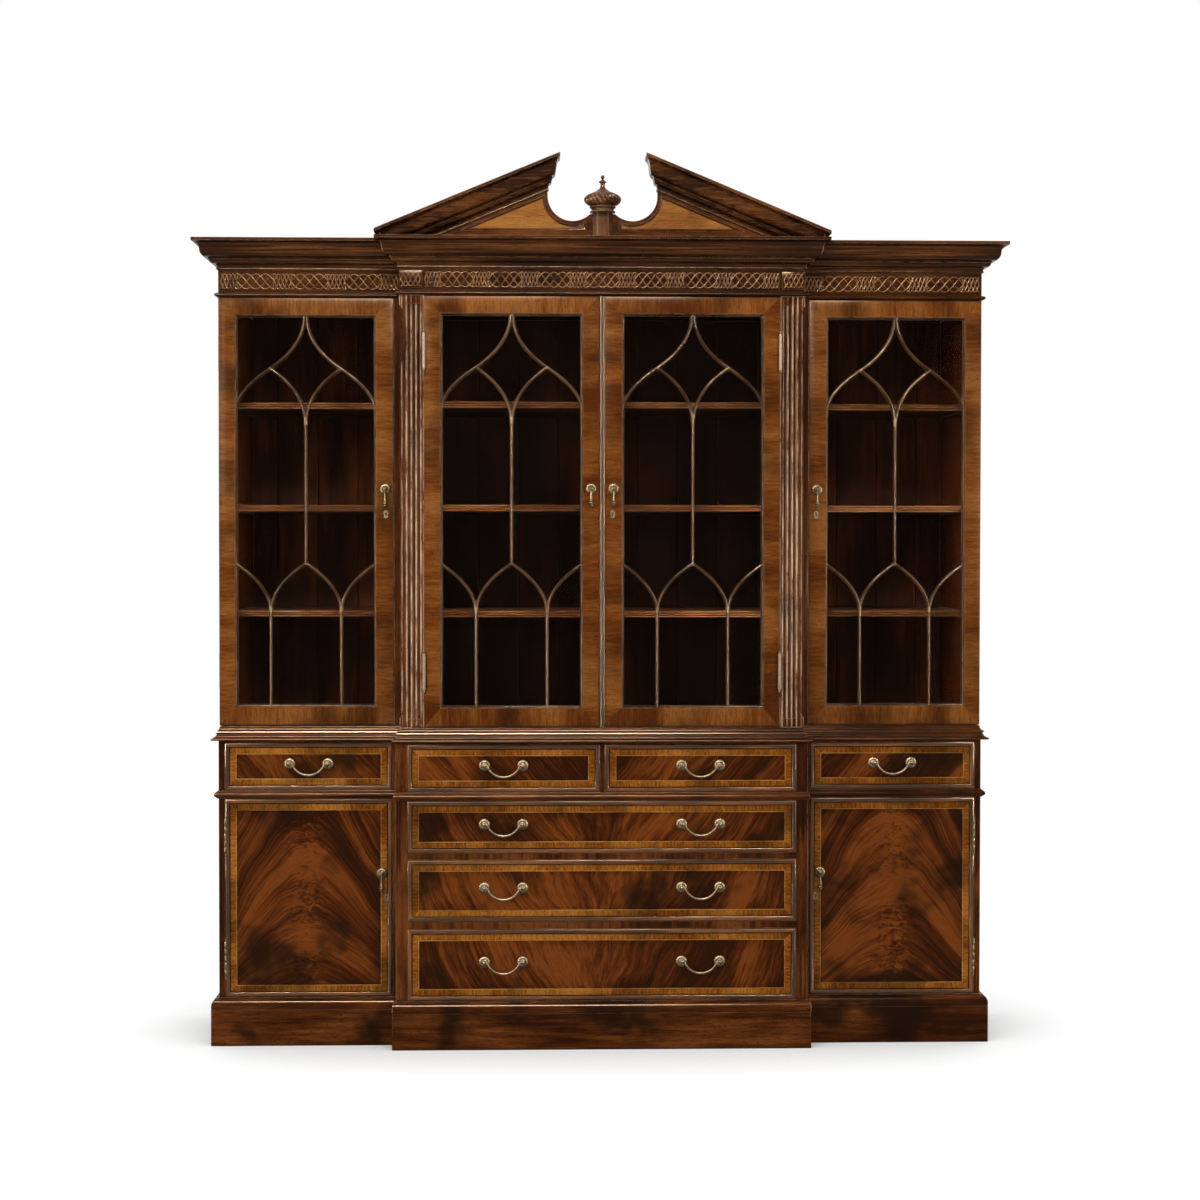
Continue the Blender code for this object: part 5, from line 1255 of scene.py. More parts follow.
# %% Frames, sight mouldings and bars
DOOR_FOOT, DOOR_HEAD, GLASS_FOOT, GLASS_HEAD = 0.8736, 2.0412, 0.9251, 1.9952
DOOR_THICK, MEMBER_WIDTH, ARRIS = 0.024, 0.05, 0.0007
EASED, SOFTENED = ARRIS / MEMBER_WIDTH, 0.3
FRAME_SECTION = (
    (0, -DOOR_THICK), (0, -ARRIS), (SOFTENED * EASED, -SOFTENED * ARRIS), (EASED, 0),
    (1 - EASED, 0), (1 - SOFTENED * EASED, -SOFTENED * ARRIS), (1, -ARRIS), (1, -DOOR_THICK),
)
SIGHT_SECTION = [(0, -0.0138), (0, -0.003), (0.001, -0.003)]
SIGHT_SECTION += quarter((0.001, -0.003), (0.0055, -0.0095), hollow=False)
SIGHT_SECTION += [(0.0062, -0.0095), (0.007, -0.0103), (0.007, -0.0138)]
BAR_FOOT = [(-0.0046, -0.0138), (-0.0046, -0.0094), (-0.0042, -0.0088), (-0.0036, -0.0088)]
BAR_BEAD, BAR_BEAD_RISE, BAR_BEAD_LEVEL = 0.0033, 0.0046, -0.0078
BAR_SECTION = BAR_FOOT + half_round(BAR_BEAD, 10, BAR_BEAD_RISE / BAR_BEAD, level=BAR_BEAD_LEVEL)
BAR_SECTION += [(-across, rise) for across, rise in reversed(BAR_FOOT)]
FRAME_FACINGS = ((0, 0, 1), LEFT, (0, 0, -1), RIGHT)
MEETING_HALF, MEETING_RISE = 0.00775, 0.004


def rectangle(low_x, high_x, low_z, high_z, y):
    """Four corners in a front plane, anticlockwise from the bottom left."""
    return [(low_x, y, low_z), (high_x, y, low_z), (high_x, y, high_z), (low_x, y, high_z)]


def glazed_door(name, edges, glass, front_y):
    """A veneered frame, its sight moulding and its tracery, as three pieces on one door."""
    widths = (GLASS_FOOT - DOOR_FOOT, edges[1] - glass[1], DOOR_HEAD - GLASS_HEAD, glass[0] - edges[0])
    corners = rectangle(*edges, DOOR_FOOT, DOOR_HEAD, front_y)
    grains = (band_upright, band_level, band_upright, band_level)
    members = weld(lay_run(FRAME_SECTION, corners, FRAME_FACINGS, widths, FRONT, ring=True, finishes=grains))
    settle(members, name + "_frame", name, "door_mahogany", name)
    corners = rectangle(*glass, GLASS_FOOT, GLASS_HEAD, front_y)
    sight = weld(lay_run(SIGHT_SECTION, corners, FRAME_FACINGS, lift=FRONT, ring=True))
    settle(paint_all(sight, sight_wood), name + "_sight_moulding", name, "door_mahogany")
    bars = sweep(tracery(*glass, GLASS_FOOT, GLASS_HEAD), BAR_SECTION, front_y)
    settle(paint_all(bars, sight_wood), name + "_tracery", name, "door_mahogany")


BAY_EDGE = (0.52, 0.60)


def by_bay(centre, wings):
    """Shifts the tone by one amount in the centre bay and another in the wings."""

    def shifted(tree, mixed):
        wing = span(tree, calc(tree, "ABSOLUTE", axes(tree)[0]), *BAY_EDGE)
        return sloped(tree, wing, wings - centre, plus(tree, mixed, centre))

    return shifted


BAND_TONES = ((0.070, 0.0155, 0.0018), (0.135, 0.0365, 0.0050), (0.220, 0.077, 0.016))
band_level, band_upright = woods("door_banding", ("level", "upright"), BAND_TONES, RUBBED_VENEER, streak=120,
                                 length=9, contrast=0.35, extra=by_bay(-0.012, 0.030))
SIGHT_TONES = ((0.011, 0.0026, 0.0005), (0.034, 0.0110, 0.0028), (0.095, 0.041, 0.016))
sight_wood = wood("worn_glazing_bars", SIGHT_TONES, grain("upright"), (0.35, 0.22, 0.12), roughness=0.18, wear=0.55,
                  gloss=0.24, glaze=1.3, spread=1.3)
WING_EDGES, WING_GLASS = (0.5707, 1.045), (0.617, 1.0015)
CENTRE_EDGE, CENTRE_GLASS, MEETING_GAP = 0.4825, (0.0533, 0.439), 0.002


def mirrored(pair):
    return (-pair[1], -pair[0])


glazed_door("right_wing_door", WING_EDGES, WING_GLASS, WING_Y)
glazed_door("left_wing_door", mirrored(WING_EDGES), mirrored(WING_GLASS), WING_Y)
glazed_door("right_centre_door", (-MEETING_HALF, CENTRE_EDGE), CENTRE_GLASS, CENTRE_Y)
glazed_door("left_centre_door", (-CENTRE_EDGE, -MEETING_HALF - MEETING_GAP), mirrored(CENTRE_GLASS), CENTRE_Y)
print("tracery bars in a door:", len(tracery(0, 1, 0, 1)))

# %% [markdown]
# ## The meeting bead
#
# Where the two centre doors meet, the right one carries a double bead that covers the joint. It is two half
# rounds side by side, drawn once from above and pushed up to the height of the door.

# %% Meeting bead
REED_STEPS, REED_ROOT, BEAD_ROOT = 8, 0.0002, 0.0005
reeds = [(-MEETING_HALF, -BEAD_ROOT)]
for middle in (-MEETING_HALF / 2, MEETING_HALF / 2):
    reeds += half_round(MEETING_HALF / 2, REED_STEPS, MEETING_RISE / (MEETING_HALF / 2), middle, REED_ROOT)
reeds.append((MEETING_HALF, -BEAD_ROOT))
meeting_bead = slab([(x, CENTRE_Y - out, DOOR_FOOT) for x, out in reeds], (0, 0, DOOR_HEAD - DOOR_FOOT))
settle(paint_all(meeting_bead, sight_wood), "meeting_bead", "right_centre_door", "door_mahogany")
print("meeting bead faces", len(meeting_bead.data.polygons))

# %% [markdown]
# ## Drawer fronts and cupboard doors
#
# A front is a panel of flame veneer inside a line of stringing and a crossband, with a rounded cock bead
# standing proud round its edge. All of that comes from one box and one face: the front face is inset again
# and again, each time by a small width and rise. The bead is a half circle of such insets, then comes the
# quirk that keeps the bead apart, then the level bands, which only change material. Insetting a rectangle
# mitres its corners by itself.

# %% Fronts
COCK_BEAD, BEAD_RISE, BEAD_SHOULDER, BEAD_FACETS = 0.0105, 0.0022, 0.0018, 10
QUIRK_EDGE, QUIRK_WIDTH, QUIRK_CHAMFER, QUIRK_DEPTH = 0.0001, 0.0016, 0.0006, 0.0007
CROSSBAND, STRINGING, BAND_SLACK = 0.0156, 0.0020, 0.0002
BEAD_TONES = ((0.022, 0.004, 0.0005), (0.070, 0.017, 0.0026), (0.165, 0.052, 0.012))
bead_level, bead_upright = woods("cock_bead", ("level", "upright"), BEAD_TONES, (0.40, 0.22, 0.12), wear=1.0,
                                 gloss=0.50, spread=1.4)
SATIN_TONES = ((0.095, 0.022, 0.0014), (0.205, 0.062, 0.0056), (0.345, 0.130, 0.017))
satin_level, satin_upright = woods("crossband", ("level", "upright"), SATIN_TONES, RUBBED_VENEER, streak=210,
                                   length=5)
STRINGING_TONES = ((0.21, 0.085, 0.018), (0.31, 0.145, 0.036), (0.42, 0.225, 0.070))
string_wood = wood("boxwood_stringing", STRINGING_TONES, grain("level"), (0.50, 0.32, 0.14))
# Near black: old glaze in the quirk beside a bead, and the painted shade of that groove. The same finish fills a
# keyhole as the painted shadow of the lock.
CREASE_GLAZE_AND_SHADE_TONES = ((0.0020, 0.0005, 0.0002), (0.0045, 0.0010, 0.0003), (0.0120, 0.0028, 0.0006))
crease_glaze_and_shade = wood("glazed_crease", CREASE_GLAZE_AND_SHADE_TONES, grain("level"), (0.03, 0.010, 0.003), roughness=0.5, gloss=0.01)


def front_steps():
    """The width and rise of each inset, from the edge to the field of veneer."""
    angles = [math.pi * step / BEAD_FACETS for step in range(BEAD_FACETS + 1)]
    steps = [(COCK_BEAD / 2 * (math.cos(first) - math.cos(second)), BEAD_RISE * (math.sin(second) - math.sin(first)))
             for first, second in zip(angles, angles[1:])]
    steps += [(QUIRK_EDGE, -BEAD_SHOULDER - QUIRK_DEPTH), (QUIRK_WIDTH, 0), (QUIRK_CHAMFER, QUIRK_DEPTH)]
    return steps + [(CROSSBAND, 0), (STRINGING, 0)]


def band_of(inwards, upright):
    """The number of the finish at a distance from a front's edge, on an upright side or a level one."""
    band = COCK_BEAD + QUIRK_EDGE + QUIRK_WIDTH + QUIRK_CHAMFER
    if inwards < COCK_BEAD - BAND_SLACK:
        return 1 if upright else 0
    # The quirk takes the near-black crease finish: glaze and painted shade in the groove.
    if inwards < band + BAND_SLACK:
        return 6
    if inwards < band + CROSSBAND:
        return 3 if upright else 2
    return 4 if inwards < band + CROSSBAND + STRINGING else 5


def front_panel(low_x, high_x, foot, head, front_y, thick, field):
    """A box whose front is beaded, crossbanded and strung, round a field of veneer."""
    panel = board((low_x, front_y - BEAD_SHOULDER, foot), (high_x, front_y + thick, head))
    paint_all(panel, bead_level, bead_upright, satin_upright, satin_level, string_wood, field, crease_glaze_and_shade)
    shape(panel)
    pick("faces", lambda face: face.normal.y < -0.9)
    for width, rise in front_steps():
        bpy.ops.mesh.inset(thickness=width, depth=rise)
    mesh = bmesh.from_edit_mesh(panel.data)
    for face in mesh.faces:
        centre = face.calc_center_median()
        from_side = (high_x - low_x) / 2 - abs(centre.x - (low_x + high_x) / 2)
        from_head = (head - foot) / 2 - abs(centre.z - (foot + head) / 2)
        at_back = centre.y > front_y + thick - NEAR
        face.material_index = band_of(0 if at_back else min(from_side, from_head), from_side < from_head)
    bmesh.update_edit_mesh(panel.data)
    return weld(rest())


print("insets on a front:", len(front_steps()))

# %% [markdown]
# ## Flame veneer
#
# Flame veneer is cut where a tree forks, so its grain sprays upwards like a fountain. A formula can draw
# that: take a height that rises towards the sides, f = z + rise * (distance from the middle) ** power. Every
# line on which f stays the same is then one curved streak. Feed f to the wood function in place of "across
# the grain" and the streaks bend along with it. Each kind of front has its own formula.

# %% Flame formulas
FLAME_TONES = ((0.020, 0.0034, 0.0003), (0.060, 0.0120, 0.0014), (0.155, 0.038, 0.0060))
FLAME_LIFT, EDGE_SHADOW, SHADOW_REACH, SHADOW_SHARE = 0.012, 0.050, 0.080, 0.36
PLUME_WIDTH, FEATHER_WIDTH, FEATHER_DEPTH, FEATHERS_PER_M = 0.26, 0.20, 0.45, (44, 20, 62)
ARCH_FOOT, ARCH_GROWTH, ACROSS_SHARE, FAN_SQUEEZE = 0.13, 0.62, 0.8, 1.8


def wobble(tree, size, per_m):
    """A slow push to and fro that keeps a formula from looking drawn with a compass."""
    return times(tree, minus(tree, cloud(tree, per_m, detail=2.0), 0.5), size)


def plume_of(tree, across, width):
    """1 along the middle line of a flame, fading to both sides."""
    return calc(tree, "EXPONENT", times(tree, calc(tree, "POWER", across, 2.0), -1 / width ** 2))


def cupboard_flame(middle, half, foot):
    """Arcs, flat at the foot and steeper with height, that spring from a ruffled plume in the middle."""

    def across(tree):
        drift = plus(tree, axes(tree)[0], wobble(tree, 0.11, 3.2))
        return calc(tree, "ABSOLUTE", calc(tree, "DIVIDE", minus(tree, drift, middle), half))

    def places(tree):
        x, y, z = axes(tree)
        steeper = sloped(tree, minus(tree, z, foot), ARCH_GROWTH, ARCH_FOOT)
        fan = times(tree, calc(tree, "POWER", across(tree), 2.0), steeper)
        ruffle = times(tree, wobble(tree, 0.05, 24), plume_of(tree, across(tree), PLUME_WIDTH))
        f = plus(tree, z, fan, wobble(tree, 0.035, 9), ruffle)
        return pack(tree, f, times(tree, x, ACROSS_SHARE), y)

    def feathers(tree, mixed):
        ripples = cloud(tree, FEATHERS_PER_M, detail=3.0, roughness=0.6, distortion=1.6)
        push_up = times(tree, minus(tree, ripples, 0.44), plume_of(tree, across(tree), FEATHER_WIDTH))
        return plus(tree, mixed, times(tree, push_up, FEATHER_DEPTH))

    return places, feathers


def drawer_fan(middle, foot, height, spread):
    """Rays that fan out from the middle of the bottom edge and stand upright at the ends."""

    def places(tree):
        x, y, z = axes(tree)
        off = minus(tree, x, middle)
        up = calc(tree, "DIVIDE", minus(tree, z, foot), height)
        ratio = calc(tree, "DIVIDE", off, spread)
        hump = calc(tree, "EXPONENT", times(tree, ratio, ratio, -1.0))
        squeeze = plus(tree, 1.0, times(tree, up, hump, FAN_SQUEEZE))
        f = plus(tree, calc(tree, "DIVIDE", off, squeeze), wobble(tree, 0.03, 9))
        return pack(tree, f, z, y)

    return places, None


def slanting(slope):
    """Stripes that lean."""

    def places(tree):
        x, y, z = axes(tree)
        return pack(tree, plus(tree, times(tree, z, slope), x, wobble(tree, 0.05, 8)), z, y)

    return places, None


def flame(name, formula, low_x, high_x, foot, head, shift=0.0):
    """Flame veneer on a front between four edges, darker towards them."""
    places, extra = formula

    def toned(tree, mixed):
        if extra:
            mixed = extra(tree, mixed)
        x, y, z = axes(tree)
        past = []
        for value, low, high in ((x, low_x, high_x), (z, foot, head)):
            off = calc(tree, "ABSOLUTE", minus(tree, value, (low + high) / 2))
            past.append(minus(tree, off, (high - low) / 2))
        edge = plus(tree, calc(tree, "MAXIMUM", *past), wobble(tree, 0.05, 12))
        reach = min(SHADOW_REACH, SHADOW_SHARE * (head - foot))
        shadow = times(tree, span(tree, edge, -reach, -reach / 5), EDGE_SHADOW)
        return minus(tree, plus(tree, mixed, shift + FLAME_LIFT), shadow)

    return wood(name, FLAME_TONES, places, RUBBED_CASE, streak=95, length=9, contrast=0.42, shade=0.85, specks=0.15,
                spread=1.15, extra=toned)


print("flame tones", FLAME_TONES)

# %% [markdown]
# ## Drawers
#
# A drawer is a veneered front on a plain box of pale, unpolished wood, which shows only when it is pulled
# out. The box is one block whose top is inset by the thickness of the sides and pushed down to the bottom
# board, as if it were hollowed from above. The front covers the box and keeps a hair of play all round.

# %% Drawers
DRAWER_GAP, FRONT_THICK, SIDE_THICK, BOTTOM_THICK, FRONT_LAP = 0.0012, 0.022, 0.012, 0.009, 0.001
SIDE_PLAY, TOP_PLAY, TRAY_BACK_Y = 0.0015, 0.004, 0.2217
JAMB, DIVIDER_HALF, WING_INSIDE, WING_OUTSIDE = 0.5284, 0.0065, 0.573, 1.029
SMALL_Z, SMALL_OPENING, FAN_SPREAD = 0.698, 0.1295, 0.30
DRAWERS = {
    "bottom_drawer": (-JAMB, JAMB, 0.131, 0.194, BASE_CENTRE_Y),
    "third_drawer": (-JAMB, JAMB, 0.346, 0.168, BASE_CENTRE_Y),
    "second_drawer": (-JAMB, JAMB, 0.532, 0.142, BASE_CENTRE_Y),
    "left_small_drawer": (-JAMB, -DIVIDER_HALF, SMALL_Z, SMALL_OPENING, BASE_CENTRE_Y),
    "right_small_drawer": (DIVIDER_HALF, JAMB, SMALL_Z, SMALL_OPENING, BASE_CENTRE_Y),
    "left_wing_drawer": (-WING_OUTSIDE, -WING_INSIDE, SMALL_Z, SMALL_OPENING, BASE_WING_Y),
    "right_wing_drawer": (WING_INSIDE, WING_OUTSIDE, SMALL_Z, SMALL_OPENING, BASE_WING_Y),
}
STRIPE_SLOPES = {
    "left_small_drawer": 0.9, "right_small_drawer": -0.9, "left_wing_drawer": 0.8, "right_wing_drawer": -0.8,
}
SHEET_SHIFTS = {"bottom_drawer": -0.050, "left_wing_drawer": 0.050, "right_wing_drawer": 0.025}
TRAY_TONES = ((0.13, 0.075, 0.035), (0.22, 0.13, 0.065), (0.30, 0.19, 0.10))
tray_wood = wood("drawer_box_wood", TRAY_TONES, grain("deep"), (0.38, 0.26, 0.15), roughness=0.6, wear=0.3)

for name, (low_x, high_x, foot, height, front_y) in DRAWERS.items():
    head = foot + height
    formula = slanting(STRIPE_SLOPES[name]) if name in STRIPE_SLOPES else drawer_fan(0, foot, height, FAN_SPREAD)
    field = flame(name + "_flame", formula, low_x, high_x, foot, head, SHEET_SHIFTS.get(name, 0.0))
    front = front_panel(low_x + DRAWER_GAP, high_x - DRAWER_GAP, foot + DRAWER_GAP, head - DRAWER_GAP,
                        front_y, FRONT_THICK, field)
    settle(front, name + "_front", name, "drawer_mahogany", name)
    tray_low = (low_x + SIDE_PLAY, front_y + FRONT_THICK - FRONT_LAP, foot + GAP)
    tray = board(tray_low, (high_x - SIDE_PLAY, TRAY_BACK_Y, head - TOP_PLAY))
    shape(tray)
    pick("faces", lambda face: face.normal.z > 0.9)
    bpy.ops.mesh.inset(thickness=SIDE_THICK)
    push((0, 0, BOTTOM_THICK - (height - TOP_PLAY - GAP)))
    settle(paint_all(weld(rest()), tray_wood), name + "_box", name, "drawer_mahogany")
print("drawers:", len(DRAWERS))

# %% [markdown]
# ## Cupboard doors
#
# The cupboard doors are made as the drawer fronts are, but with the formula of the arching flame, laid about
# the middle of each door.

# %% Cupboard doors
CUPBOARD_FOOT, CUPBOARD_HEAD, DOOR_PLAY, RIGHT_SHEET_SHIFT = 0.1325, 0.6725, 0.0015, 0.03
for side, wing in ((-1, "left"), (1, "right")):
    low_x, high_x = sorted((side * (WING_INSIDE + DOOR_PLAY), side * (WING_OUTSIDE - DOOR_PLAY)))
    formula = cupboard_flame((low_x + high_x) / 2, (high_x - low_x) / 2, CUPBOARD_FOOT)
    shift = max(side, 0) * RIGHT_SHEET_SHIFT
    field = flame(wing + "_cupboard_flame", formula, low_x, high_x, CUPBOARD_FOOT, CUPBOARD_HEAD, shift)
    door = front_panel(low_x, high_x, CUPBOARD_FOOT, CUPBOARD_HEAD, BASE_WING_Y, FRONT_THICK, field)
    settle(door, wing + "_cupboard_panel", wing + "_cupboard_door", "door_mahogany", wing + "_cupboard_door")
print("cupboard doors: 2")

# %% [markdown]
# ## Brass
#
# The handles were cast and turned, so they are lathe shapes and one bent rod each. A rosette is spun from
# half its outline and then scalloped by pulling its rim in along twelve lines. The bail is a line with a
# round bevel, thinner at the pins and thicker in the middle of the grip. Old brass is dull and brown in its
# hollows and bright where fingers reach, which is the same corner-and-edge trick as in the wood.

# %% Aged brass
TARNISH, RUBBED_BRASS = (0.03, 0.016, 0.006, 1), (0.36, 0.28, 0.16, 1)
TARNISH_REACH, RUBBED_REACH, TARNISH_SHARE = 0.006, 0.0012, 0.85
PITS_PER_M, PIT_BUMP, PIT_RELIEF, PIT_DULLING, METAL_SHARE = 260, 0.15, 0.0004, 0.25, 0.85
BRASS_STOPS = (0.30, 0.52, 0.74)


def brass(name, tones, roughness, bright=0.6):
    """Old brass in three tones, tarnished in its corners and rubbed bright on its edges."""
    material, tree, shader = new_material(name)
    pits = cloud(tree, PITS_PER_M, detail=4.0, roughness=0.6)
    colour = ramp(tree, pits, list(zip(BRASS_STOPS, tones)))
    corner = span(tree, near_surfaces(tree, TARNISH_REACH), 0.12, 0.6)
    colour = blend_colours(tree, times(tree, corner, TARNISH_SHARE), colour, TARNISH)
    edge = span(tree, near_surfaces(tree, RUBBED_REACH, inside=True), 0.3, 0.7)
    colour = blend_colours(tree, times(tree, edge, bright), colour, RUBBED_BRASS)
    put(tree, shader.inputs["Base Color"], colour)
    put(tree, shader.inputs["Roughness"], sloped(tree, pits, PIT_DULLING, roughness))
    shader.inputs["Metallic"].default_value = METAL_SHARE
    roughen(tree, shader, pits, PIT_BUMP, PIT_RELIEF)
    return material


old_brass = brass("old_brass", ((0.018, 0.011, 0.0045), (0.062, 0.042, 0.020), (0.150, 0.112, 0.064)), 0.30)
pale_brass = brass("rubbed_brass", ((0.032, 0.017, 0.008), (0.066, 0.040, 0.022), (0.115, 0.076, 0.046)), 0.48, 0.3)
dark_brass = brass("dark_brass", ((0.010, 0.0052, 0.0014), (0.044, 0.027, 0.0095), (0.180, 0.125, 0.058)), 0.30, 0.75)
print("brasses: 3")

# %% Rosettes and bails
ROSETTE_RADIUS, BALL_RADIUS, BALL_WRAP, POST_RADIUS, POST_SHOULDER = 0.0155, 0.0044, 0.82, 0.0030, 0.005
BAIL_HALF, BAIL_DROP, BAIL_WIRE, BAIL_REACH, BEND_STEPS = 0.052, 0.031, 0.0031, 0.0125, 24
PIN_SHARE, GRIP_SHARE, GRIP_SWELL, GRIP_FULLNESS = 0.48, 0.80, 0.38, 1.5
PLATE = [
    (0.0035, 0.0050), (0.0035, 0.0050), (0.0060, 0.0046), (0.0072, 0.0034), (0.0072, 0.0034), (0.0100, 0.0040),
    (0.0130, 0.0030), (0.0150, 0.0012), (0.0155, 0.0004), (0.0155, 0.0004), (0.0155, -0.0006), (0.0155, -0.0006),
    (0, -0.0006),
]
SCALLOPS, SCALLOP_DEPTH, SCALLOP_START = 12, 0.10, 0.6


def scallop(piece, centre):
    """Pulls a plate's rim in along twelve lines."""
    for point in piece.data.vertices:
        off = point.co - centre
        radius = math.hypot(off.x, off.z)
        if radius > ROSETTE_RADIUS * SCALLOP_START:
            pull = abs(math.sin(SCALLOPS / 2 * math.atan2(off.z, off.x)))
            grow = 1 - SCALLOP_DEPTH * (1 - pull) ** 2 * (radius / ROSETTE_RADIUS)
            point.co.x, point.co.z = centre.x + off.x * grow, centre.z + off.z * grow
    return piece


def post(place):
    """A rosette with a post that ends in a ball, standing on a front."""
    angles = [math.pi * BALL_WRAP * step / 8 for step in range(9)]
    tip = [(BALL_RADIUS * math.sin(angle), BAIL_REACH + BALL_RADIUS * math.cos(angle)) for angle in angles]
    profile = tip + [(POST_RADIUS, BAIL_REACH - POST_SHOULDER)] + through(PLATE, 2)
    return scallop(turn(profile, place, "y", 48, flip=True), place)


def bail_line():
    """The bent rod as across and up, from pin to pin through the grip."""
    mouth = BAIL_HALF - BALL_RADIUS - BAIL_WIRE
    radius = (mouth ** 2 + BAIL_DROP ** 2) / (2 * BAIL_DROP)
    reach = math.asin(mouth / radius)
    pins = [(-BAIL_HALF, 0), (-mouth - BAIL_WIRE, 0)]
    angles = [-reach + 2 * reach * step / BEND_STEPS for step in range(BEND_STEPS + 1)]
    grip = [(radius * math.sin(angle), radius * (math.cos(reach) - math.cos(angle))) for angle in angles]
    return pins + grip + [(-x, z) for x, z in reversed(pins)]


def bail_grip(axis):
    """The rod along that line, thin in its pins and thicker towards the middle of the grip."""
    bend = bail_line()
    bail = converted(line_through([(axis.x + x, axis.y, axis.z + z) for x, z in bend]), "CURVE")
    bail.data.bevel_depth = BAIL_WIRE
    bail.data.bevel_resolution = 4
    bail.data.use_fill_caps = True
    for index, point in enumerate(bail.data.splines[0].points):
        in_pin = min(index, len(bend) - 1 - index) < 2
        middle = 1 - abs(bend[index][0]) / BAIL_HALF
        point.radius = PIN_SHARE if in_pin else GRIP_SHARE + GRIP_SWELL * middle ** GRIP_FULLNESS
    return weld(converted(bail, "MESH"))


first_post = post(Vector((0, 0, 0)))
bail_names = [name for name in frame["nodes"] if name.endswith("_bail")]
for name in bail_names:
    drawer = next(key for key in DRAWERS if name.startswith(key))
    axis, face_y = joint_places[name + "_swing"], DRAWERS[drawer][4]
    posts = gather([copy_of(first_post, (axis.x + side * BAIL_HALF, face_y, axis.z)) for side in (-1, 1)])
    settle(paint_all(posts, old_brass), name + "_rosettes", drawer, "antique_brass")
    settle(paint_all(bail_grip(axis), old_brass), name + "_grip", name, "antique_brass", name)
bpy.data.objects.remove(first_post)
print("bails:", len(bail_names))

# %% [markdown]
# ## Drop pulls
#
# A drop pull hangs from a pin in a slotted knob. The knob and its plate are one turning, and a small board
# cuts the slot out of it. The drop is turned about its own length from shares of its collar and its length,
# and its pin is a short rod across the top.

# %% Drop pulls
DROP_REACH, DROP_LENGTH, COLLAR, PIN_HALF, PIN_RADIUS = 0.0105, 0.0485, 0.0066, 0.006, 0.0013
SLOT_HALF, SLOT_DEPTH = 0.0037, 0.014
KNOB_SHAPE = [(0, 0.0165), (0.0030, 0.0160), (0.0052, 0.0140), (0.0062, 0.0110), (0.0056, 0.0080), (0.0040, 0.0060)]
DROP_SHARES = (
    (0, 0.06), (0.32, 0.05), (0.50, 0.02), (0.50, -0.02), (0.38, -0.06), (0.30, -0.10), (0.30, -0.10), (0.44, -0.12),
    (0.44, -0.15), (0.32, -0.17), (0.32, -0.17), (0.40, -0.40), (0.52, -0.60), (0.56, -0.655), (0.56, -0.655),
    (0.76, -0.675), (0.76, -0.70), (0.55, -0.725), (0.55, -0.725), (0.80, -0.755), (1.0, -0.80), (0.80, -0.845),
    (0.45, -0.87), (0.45, -0.87), (0.68, -0.90), (0.70, -0.93), (0.40, -0.98), (0, -1),
)
pull_names = [name for name in frame["nodes"] if name.endswith("_pull")]
for name in pull_names:
    door = name.replace("_pull", "_door" if "cupboard" in name else "")
    axis = joint_places[name + "_swing"]
    face = Vector((axis.x, axis.y + DROP_REACH, axis.z))
    rosette = scallop(turn(KNOB_SHAPE + through(PLATE, 2), face, "y", 48, flip=True), face)
    carve(rosette, board(axis - Vector((SLOT_HALF, SLOT_DEPTH, SLOT_DEPTH)), axis + Vector((SLOT_HALF,) * 3)))
    settle(paint_all(weld(rosette), dark_brass), name + "_rosette", door, "antique_brass")
    drop = turn([(r * COLLAR, h * DROP_LENGTH) for r, h in through(DROP_SHARES, 3)], axis, "z", 28)
    pin = turn([(0, PIN_HALF), (PIN_RADIUS, PIN_HALF), (PIN_RADIUS, -PIN_HALF), (0, -PIN_HALF)], axis, "x", 12)
    settle(paint_all(gather([drop, pin]), dark_brass), name + "_drop", name, "antique_brass", name)
print("drop pulls:", len(pull_names))

# %% [markdown]
# ## Hinges
#
# All that shows of a hinge on a closed door is its barrel, with a small turned tip at each end and fine lines
# where the knuckles meet. One profile holds the tips and the knuckles. It is spun about the joint's own
# axis, so the barrel stays in place when the door swings. Only the centre doors have barrels of full radius.

# %% Hinge barrels
BARREL_RADIUS, BARREL_LENGTH, KNUCKLES, KNUCKLE_EASE, BARREL_NECK = 0.005, 0.096, 5, 0.0006, 0.0004
GLAZED_INSET, CUPBOARD_INSET, SLIM_SHARE = 0.150, 0.102, 0.62
TIP = [(0, -0.008), (0.0022, -0.0076), (0.0034, -0.0056), (0.0030, -0.0034), (0.0020, -0.0024), (0.0042, -0.0014)]
barrel = TIP + [(BARREL_RADIUS - BARREL_NECK, 0)]
for knuckle in range(KNUCKLES):
    low, high = (BARREL_LENGTH * (knuckle + end) / KNUCKLES for end in (0, 1))
    barrel += [(BARREL_RADIUS - KNUCKLE_EASE, low), (BARREL_RADIUS, low + KNUCKLE_EASE)]
    barrel += [(BARREL_RADIUS, high - KNUCKLE_EASE), (BARREL_RADIUS - KNUCKLE_EASE, high)]
barrel += [(radius, BARREL_LENGTH - height) for radius, height in reversed(TIP)]
hinged = [place + "_door" for place in ("left_wing", "right_wing", "left_centre", "right_centre", "left_cupboard",
                                        "right_cupboard")]
for name in hinged:
    axis = joint_places[name + "_hinge"]
    cupboard, centre = "cupboard" in name, "centre" in name
    foot, head = (CUPBOARD_FOOT, CUPBOARD_HEAD) if cupboard else (DOOR_FOOT, DOOR_HEAD)
    inset = CUPBOARD_INSET if cupboard else GLAZED_INSET
    levels = (foot + inset - BARREL_LENGTH / 2, head - inset - BARREL_LENGTH / 2)
    shown = [(radius * (1 if centre else SLIM_SHARE), height) for radius, height in barrel]
    pair = gather([turn(shown, (axis.x, axis.y, level), "z", 20) for level in levels])
    settle(paint_all(pair, pale_brass if centre else dark_brass), name + "_hinges", name, "antique_brass")
print("hinges:", 2 * len(hinged))

# %% [markdown]
# ## Keyhole plates
#
# A small brass shield guards each keyhole. Half its outline is drawn and mirrored, the keyhole is carved
# through it, and a dark slab in the hole stands for the shadow of the lock.

